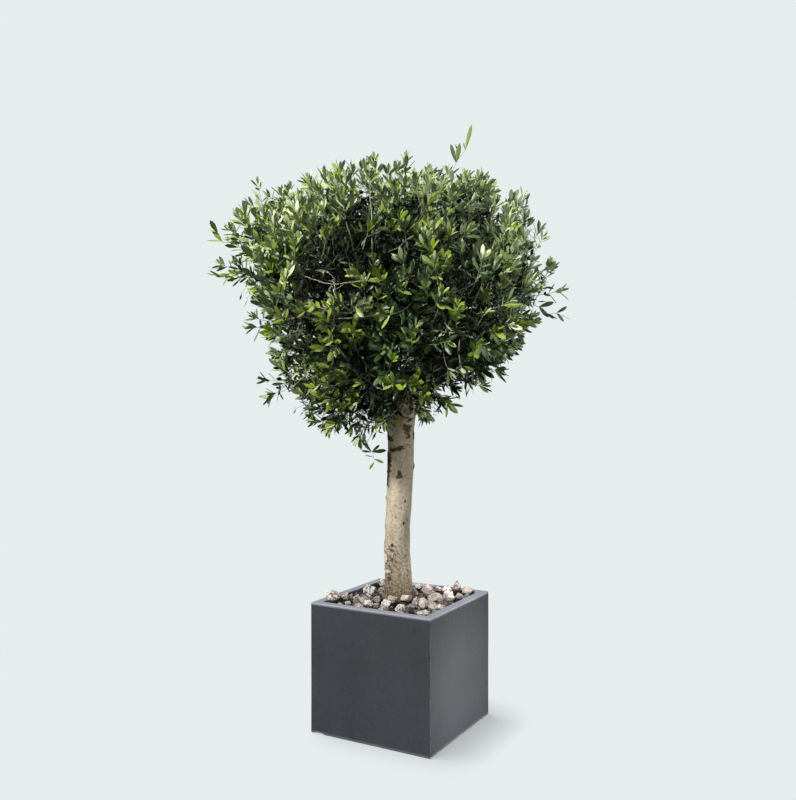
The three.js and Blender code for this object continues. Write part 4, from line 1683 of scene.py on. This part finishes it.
# The bed stones are painted this dark, as shade.
BED_SHADE = 0.95
SMALL_STONES = ((26, 0.0175, 0.0205), (50, 0.0125, 0.0165), (80, 0.0080, 0.0115))  # count, radii
FINE_OVER = 0.0180  # stones with a radius over this have finer faces
STONE_TRIES = 420
UNDERSIDE_SHADE = 0.95  # how dark the underside of each stone is
PIT_COUNT = (16, 42)  # pits in a dense stone, and how many more a porous one has
PIT_DEPTH = 0.20  # as a share of the stone's radius
TRUNK_CLEAR = 0.062  # stones keep out of this distance from the trunk's middle
HEAP_OVER = 0.014  # how far the heap may rise over the rim
STONE_TONES = (
    (0.0, srgb(118, 112, 110)),
    (0.25, srgb(160, 152, 148)),
    (0.55, srgb(192, 175, 169)),
    (0.8, srgb(206, 201, 196)),
    (1.0, srgb(146, 140, 138)),
)


class StoneMaker:
    """Porous, angular stones as one mesh."""

    def __init__(self, rng, detail=4):
        self.rng = rng
        ball = bmesh.new()
        bmesh.ops.create_icosphere(ball, subdivisions=detail, radius=1.0)
        ball.verts.ensure_lookup_table()
        self.directions = np.array([v.co for v in ball.verts])
        self.faces = np.array([[v.index for v in f.verts] for f in ball.faces])
        ball.free()
        self.vertices, self.triangles = [], []
        self.layers = {"pit_and_shade": [], "tone": [], "porous": []}

    def angular(self, sizes):
        """How far a random angular block reaches in each direction."""
        rng = self.rng
        turned, _ = np.linalg.qr(rng.normal(0.0, 1.0, (3, 3)))
        sides = np.concatenate([turned, -turned]) + rng.normal(0.0, 0.20, (6, 3))
        normals = unit(np.concatenate([sides, rng.normal(0.0, 1.0, (4, 3))]))
        offsets = np.concatenate([rng.uniform(0.66, 0.90, 6), rng.uniform(0.80, 1.02, 4)])
        scaled = self.directions / sizes
        facing = scaled @ normals.T
        reach = np.where(facing > 0.05, offsets / np.maximum(facing, 0.05), np.inf).min(1)
        return np.minimum(reach, 1.26 / np.linalg.norm(scaled, axis=1))

    def cad(self, name):
        """How far a CAD stone reaches from its middle in each direction."""
        vertices, triangles = mesh_arrays(name)
        middle = (vertices.max(0) + vertices.min(0)) / 2
        body = BVHTree.FromPolygons(vertices.tolist(), triangles.tolist())
        origin = Vector(middle)
        return middle, np.array([body.ray_cast(origin, Vector(d))[3] or 0.02 for d in self.directions])

    def add(self, middle, reach, porous=None, tone=None, shade=0.0):
        rng = self.rng
        size, count = reach.mean(), len(reach)
        shift = rng.uniform(0.0, 100.0)
        points = self.directions * reach[:, None] / size
        lumps = 0.06 * noise_field(points, 1.5, 2, shift) + 0.022 * noise_field(points, 6.0, 2, shift)
        reach = reach * (1.0 + lumps)
        porous = rng.random() if porous is None else porous
        pits = int(PIT_COUNT[0] + PIT_COUNT[1] * porous)
        holes = unit(rng.normal(0.0, 1.0, (pits, 3)))
        widths = np.radians(rng.uniform(4.0, 7.0 + 9.0 * porous, pits))
        apart = angles_between(self.directions, holes.T) / widths
        pit_and_shade = np.exp(-(apart**2.6)).max(1) * (0.55 + 0.45 * porous)
        reach = reach * (1.0 - PIT_DEPTH * pit_and_shade)
        # Each stone's underside is painted dark, as shade.
        underside_shade = UNDERSIDE_SHADE * smoothstep(0.10, -0.60, self.directions[:, 2] * reach / size)
        self.triangles.append(self.faces + len(self.vertices) * count)
        self.vertices.append(middle + self.directions * reach[:, None])
        self.layers["pit_and_shade"].append(np.maximum(np.maximum(pit_and_shade, underside_shade), shade))
        self.layers["tone"].append(np.full(count, rng.random() if tone is None else tone))
        self.layers["porous"].append(np.full(count, porous))

    def build(self, name, material):
        made = mesh_object(name, np.concatenate(self.vertices), np.concatenate(self.triangles), [material])
        for layer, values in self.layers.items():
            add_attribute(made, layer, np.concatenate(values))
        return made


def stone_material():
    made = Finish("pumice", srgb(196, 186, 176), 0.9, 0.2)
    color = made.ramp(made.attribute("tone"), STONE_TONES)
    color = made.mottle(color, made.noise(75.0, 4.0), 0.42, 0.62, 0.45, srgb(122, 111, 106))
    specks = made.dots(420.0, None, 0.14, 0.34, made.rise(made.noise(90.0, 2.0), 0.42, 0.54))
    color = made.tint(color, specks, 0.8, srgb(64, 57, 53))
    porous = made.ramp(made.attribute("porous"), ((0.0, 0.35), (0.9, 1.0)))
    # Dark pores: painted shade in the holes, which the bump also sinks.
    holes = made.dots(150.0, None, 0.20, 0.36, porous)
    color = made.mix(holes, color, srgb(36, 31, 29))
    # Pits, undersides and stones that lie low are painted near black: painted shade.
    made.color(made.mix(made.math("POWER", made.attribute("pit_and_shade"), 1.2), color, srgb(24, 20, 19)))
    grain = made.math("ADD", made.noise(380.0, 4.0), made.times(made.cells(420.0), 0.8))
    made.bump(made.math("SUBTRACT", grain, holes), 0.0016, 0.9)
    return made.material


def settle(rng, settled, free, foot):
    """Drops stones one by one, each into the lowest of the places tried."""
    fresh = []
    soil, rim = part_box("root_ball")[1].z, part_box("planter")[1].z
    for count, smallest, largest in SMALL_STONES:
        for radius in np.sort(rng.uniform(smallest, largest, count))[::-1]:
            room = free - radius * 0.95
            trial = rng.uniform(-room, room, (STONE_TRIES, 2))
            trial = trial[np.linalg.norm(trial - foot, axis=1) > TRUNK_CLEAR + radius * 0.9]
            others = np.array(settled)
            apart = np.linalg.norm(trial[:, None] - others[None, :, :2], axis=2)
            touch = (others[:, 3] + radius) * 0.90
            rise = np.sqrt(np.maximum(touch[None] ** 2 - apart**2, 0.0))
            ground = soil + radius * 0.75
            level = np.where(apart < touch[None], others[None, :, 2] + rise, ground).max(1)
            level = np.maximum(level, ground)
            best = int(level.argmin())
            if level[best] + radius <= rim + HEAP_OVER:
                settled.append((*trial[best], level[best], radius))
                fresh.append(settled[-1])
    return fresh


def make_stones():
    """The CAD stones, those that show on top, and smaller ones packed between them over a bed."""
    rng = np.random.default_rng(STONE_SEED)
    large, middling, small = StoneMaker(rng), StoneMaker(rng), StoneMaker(rng, 3)
    settled = []
    for name in STONES:
        middle, reach = large.cad(name)
        settled.append((*middle, np.percentile(reach, 70)))
        large.add(middle, reach)
    ground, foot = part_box("root_ball")[1], trunk_foot()
    for x, y, z, sizes, porous, tone in TOP_STONES:
        settled.append((x, y, z, np.mean(sizes)))
        middling.add(np.array([x, y, z]), middling.angular(np.array(sizes)), porous, tone)
    row = np.arange(BED_STEP / 2 - ground.x + 0.004, ground.x, BED_STEP)
    bed = np.stack(np.meshgrid(row, row), -1).reshape(-1, 2)
    for x, y in bed + rng.uniform(-0.006, 0.006, bed.shape):
        if math.hypot(x - foot[0], y - foot[1]) < TRUNK_CLEAR + BED_RADIUS * 0.5:
            continue
        z = ground.z + BED_RADIUS * rng.uniform(0.35, 0.65)
        settled.append((x, y, z, BED_RADIUS))
        sizes = BED_RADIUS * rng.uniform(0.80, 1.05, 3)
        small.add(np.array([x, y, z]), small.angular(sizes), shade=BED_SHADE)
    for x, y, z, radius in settle(rng, settled, ground.x, foot):
        sizes = rng.uniform(0.78, 1.12, 3) * np.array([1.0, 1.0, 0.88])
        maker = middling if radius > FINE_OVER else small
        # Stones that lie low in the heap are painted darker, as shade.
        maker.add(np.array([x, y, z]), maker.angular(sizes * radius), shade=smoothstep(0.484, 0.460, z))
    material = stone_material()
    on_tree(large.build("large_stones", material), "stone", *STONES)
    on_tree(middling.build("top_stones", material), "stone")
    on_tree(small.build("small_stones", material), "stone")


# ------------------------------------------------------------------ build

make_camera()
make_stage()
make_light()
make_planter()
make_soil()
make_stones()
make_trunk()
make_crown()
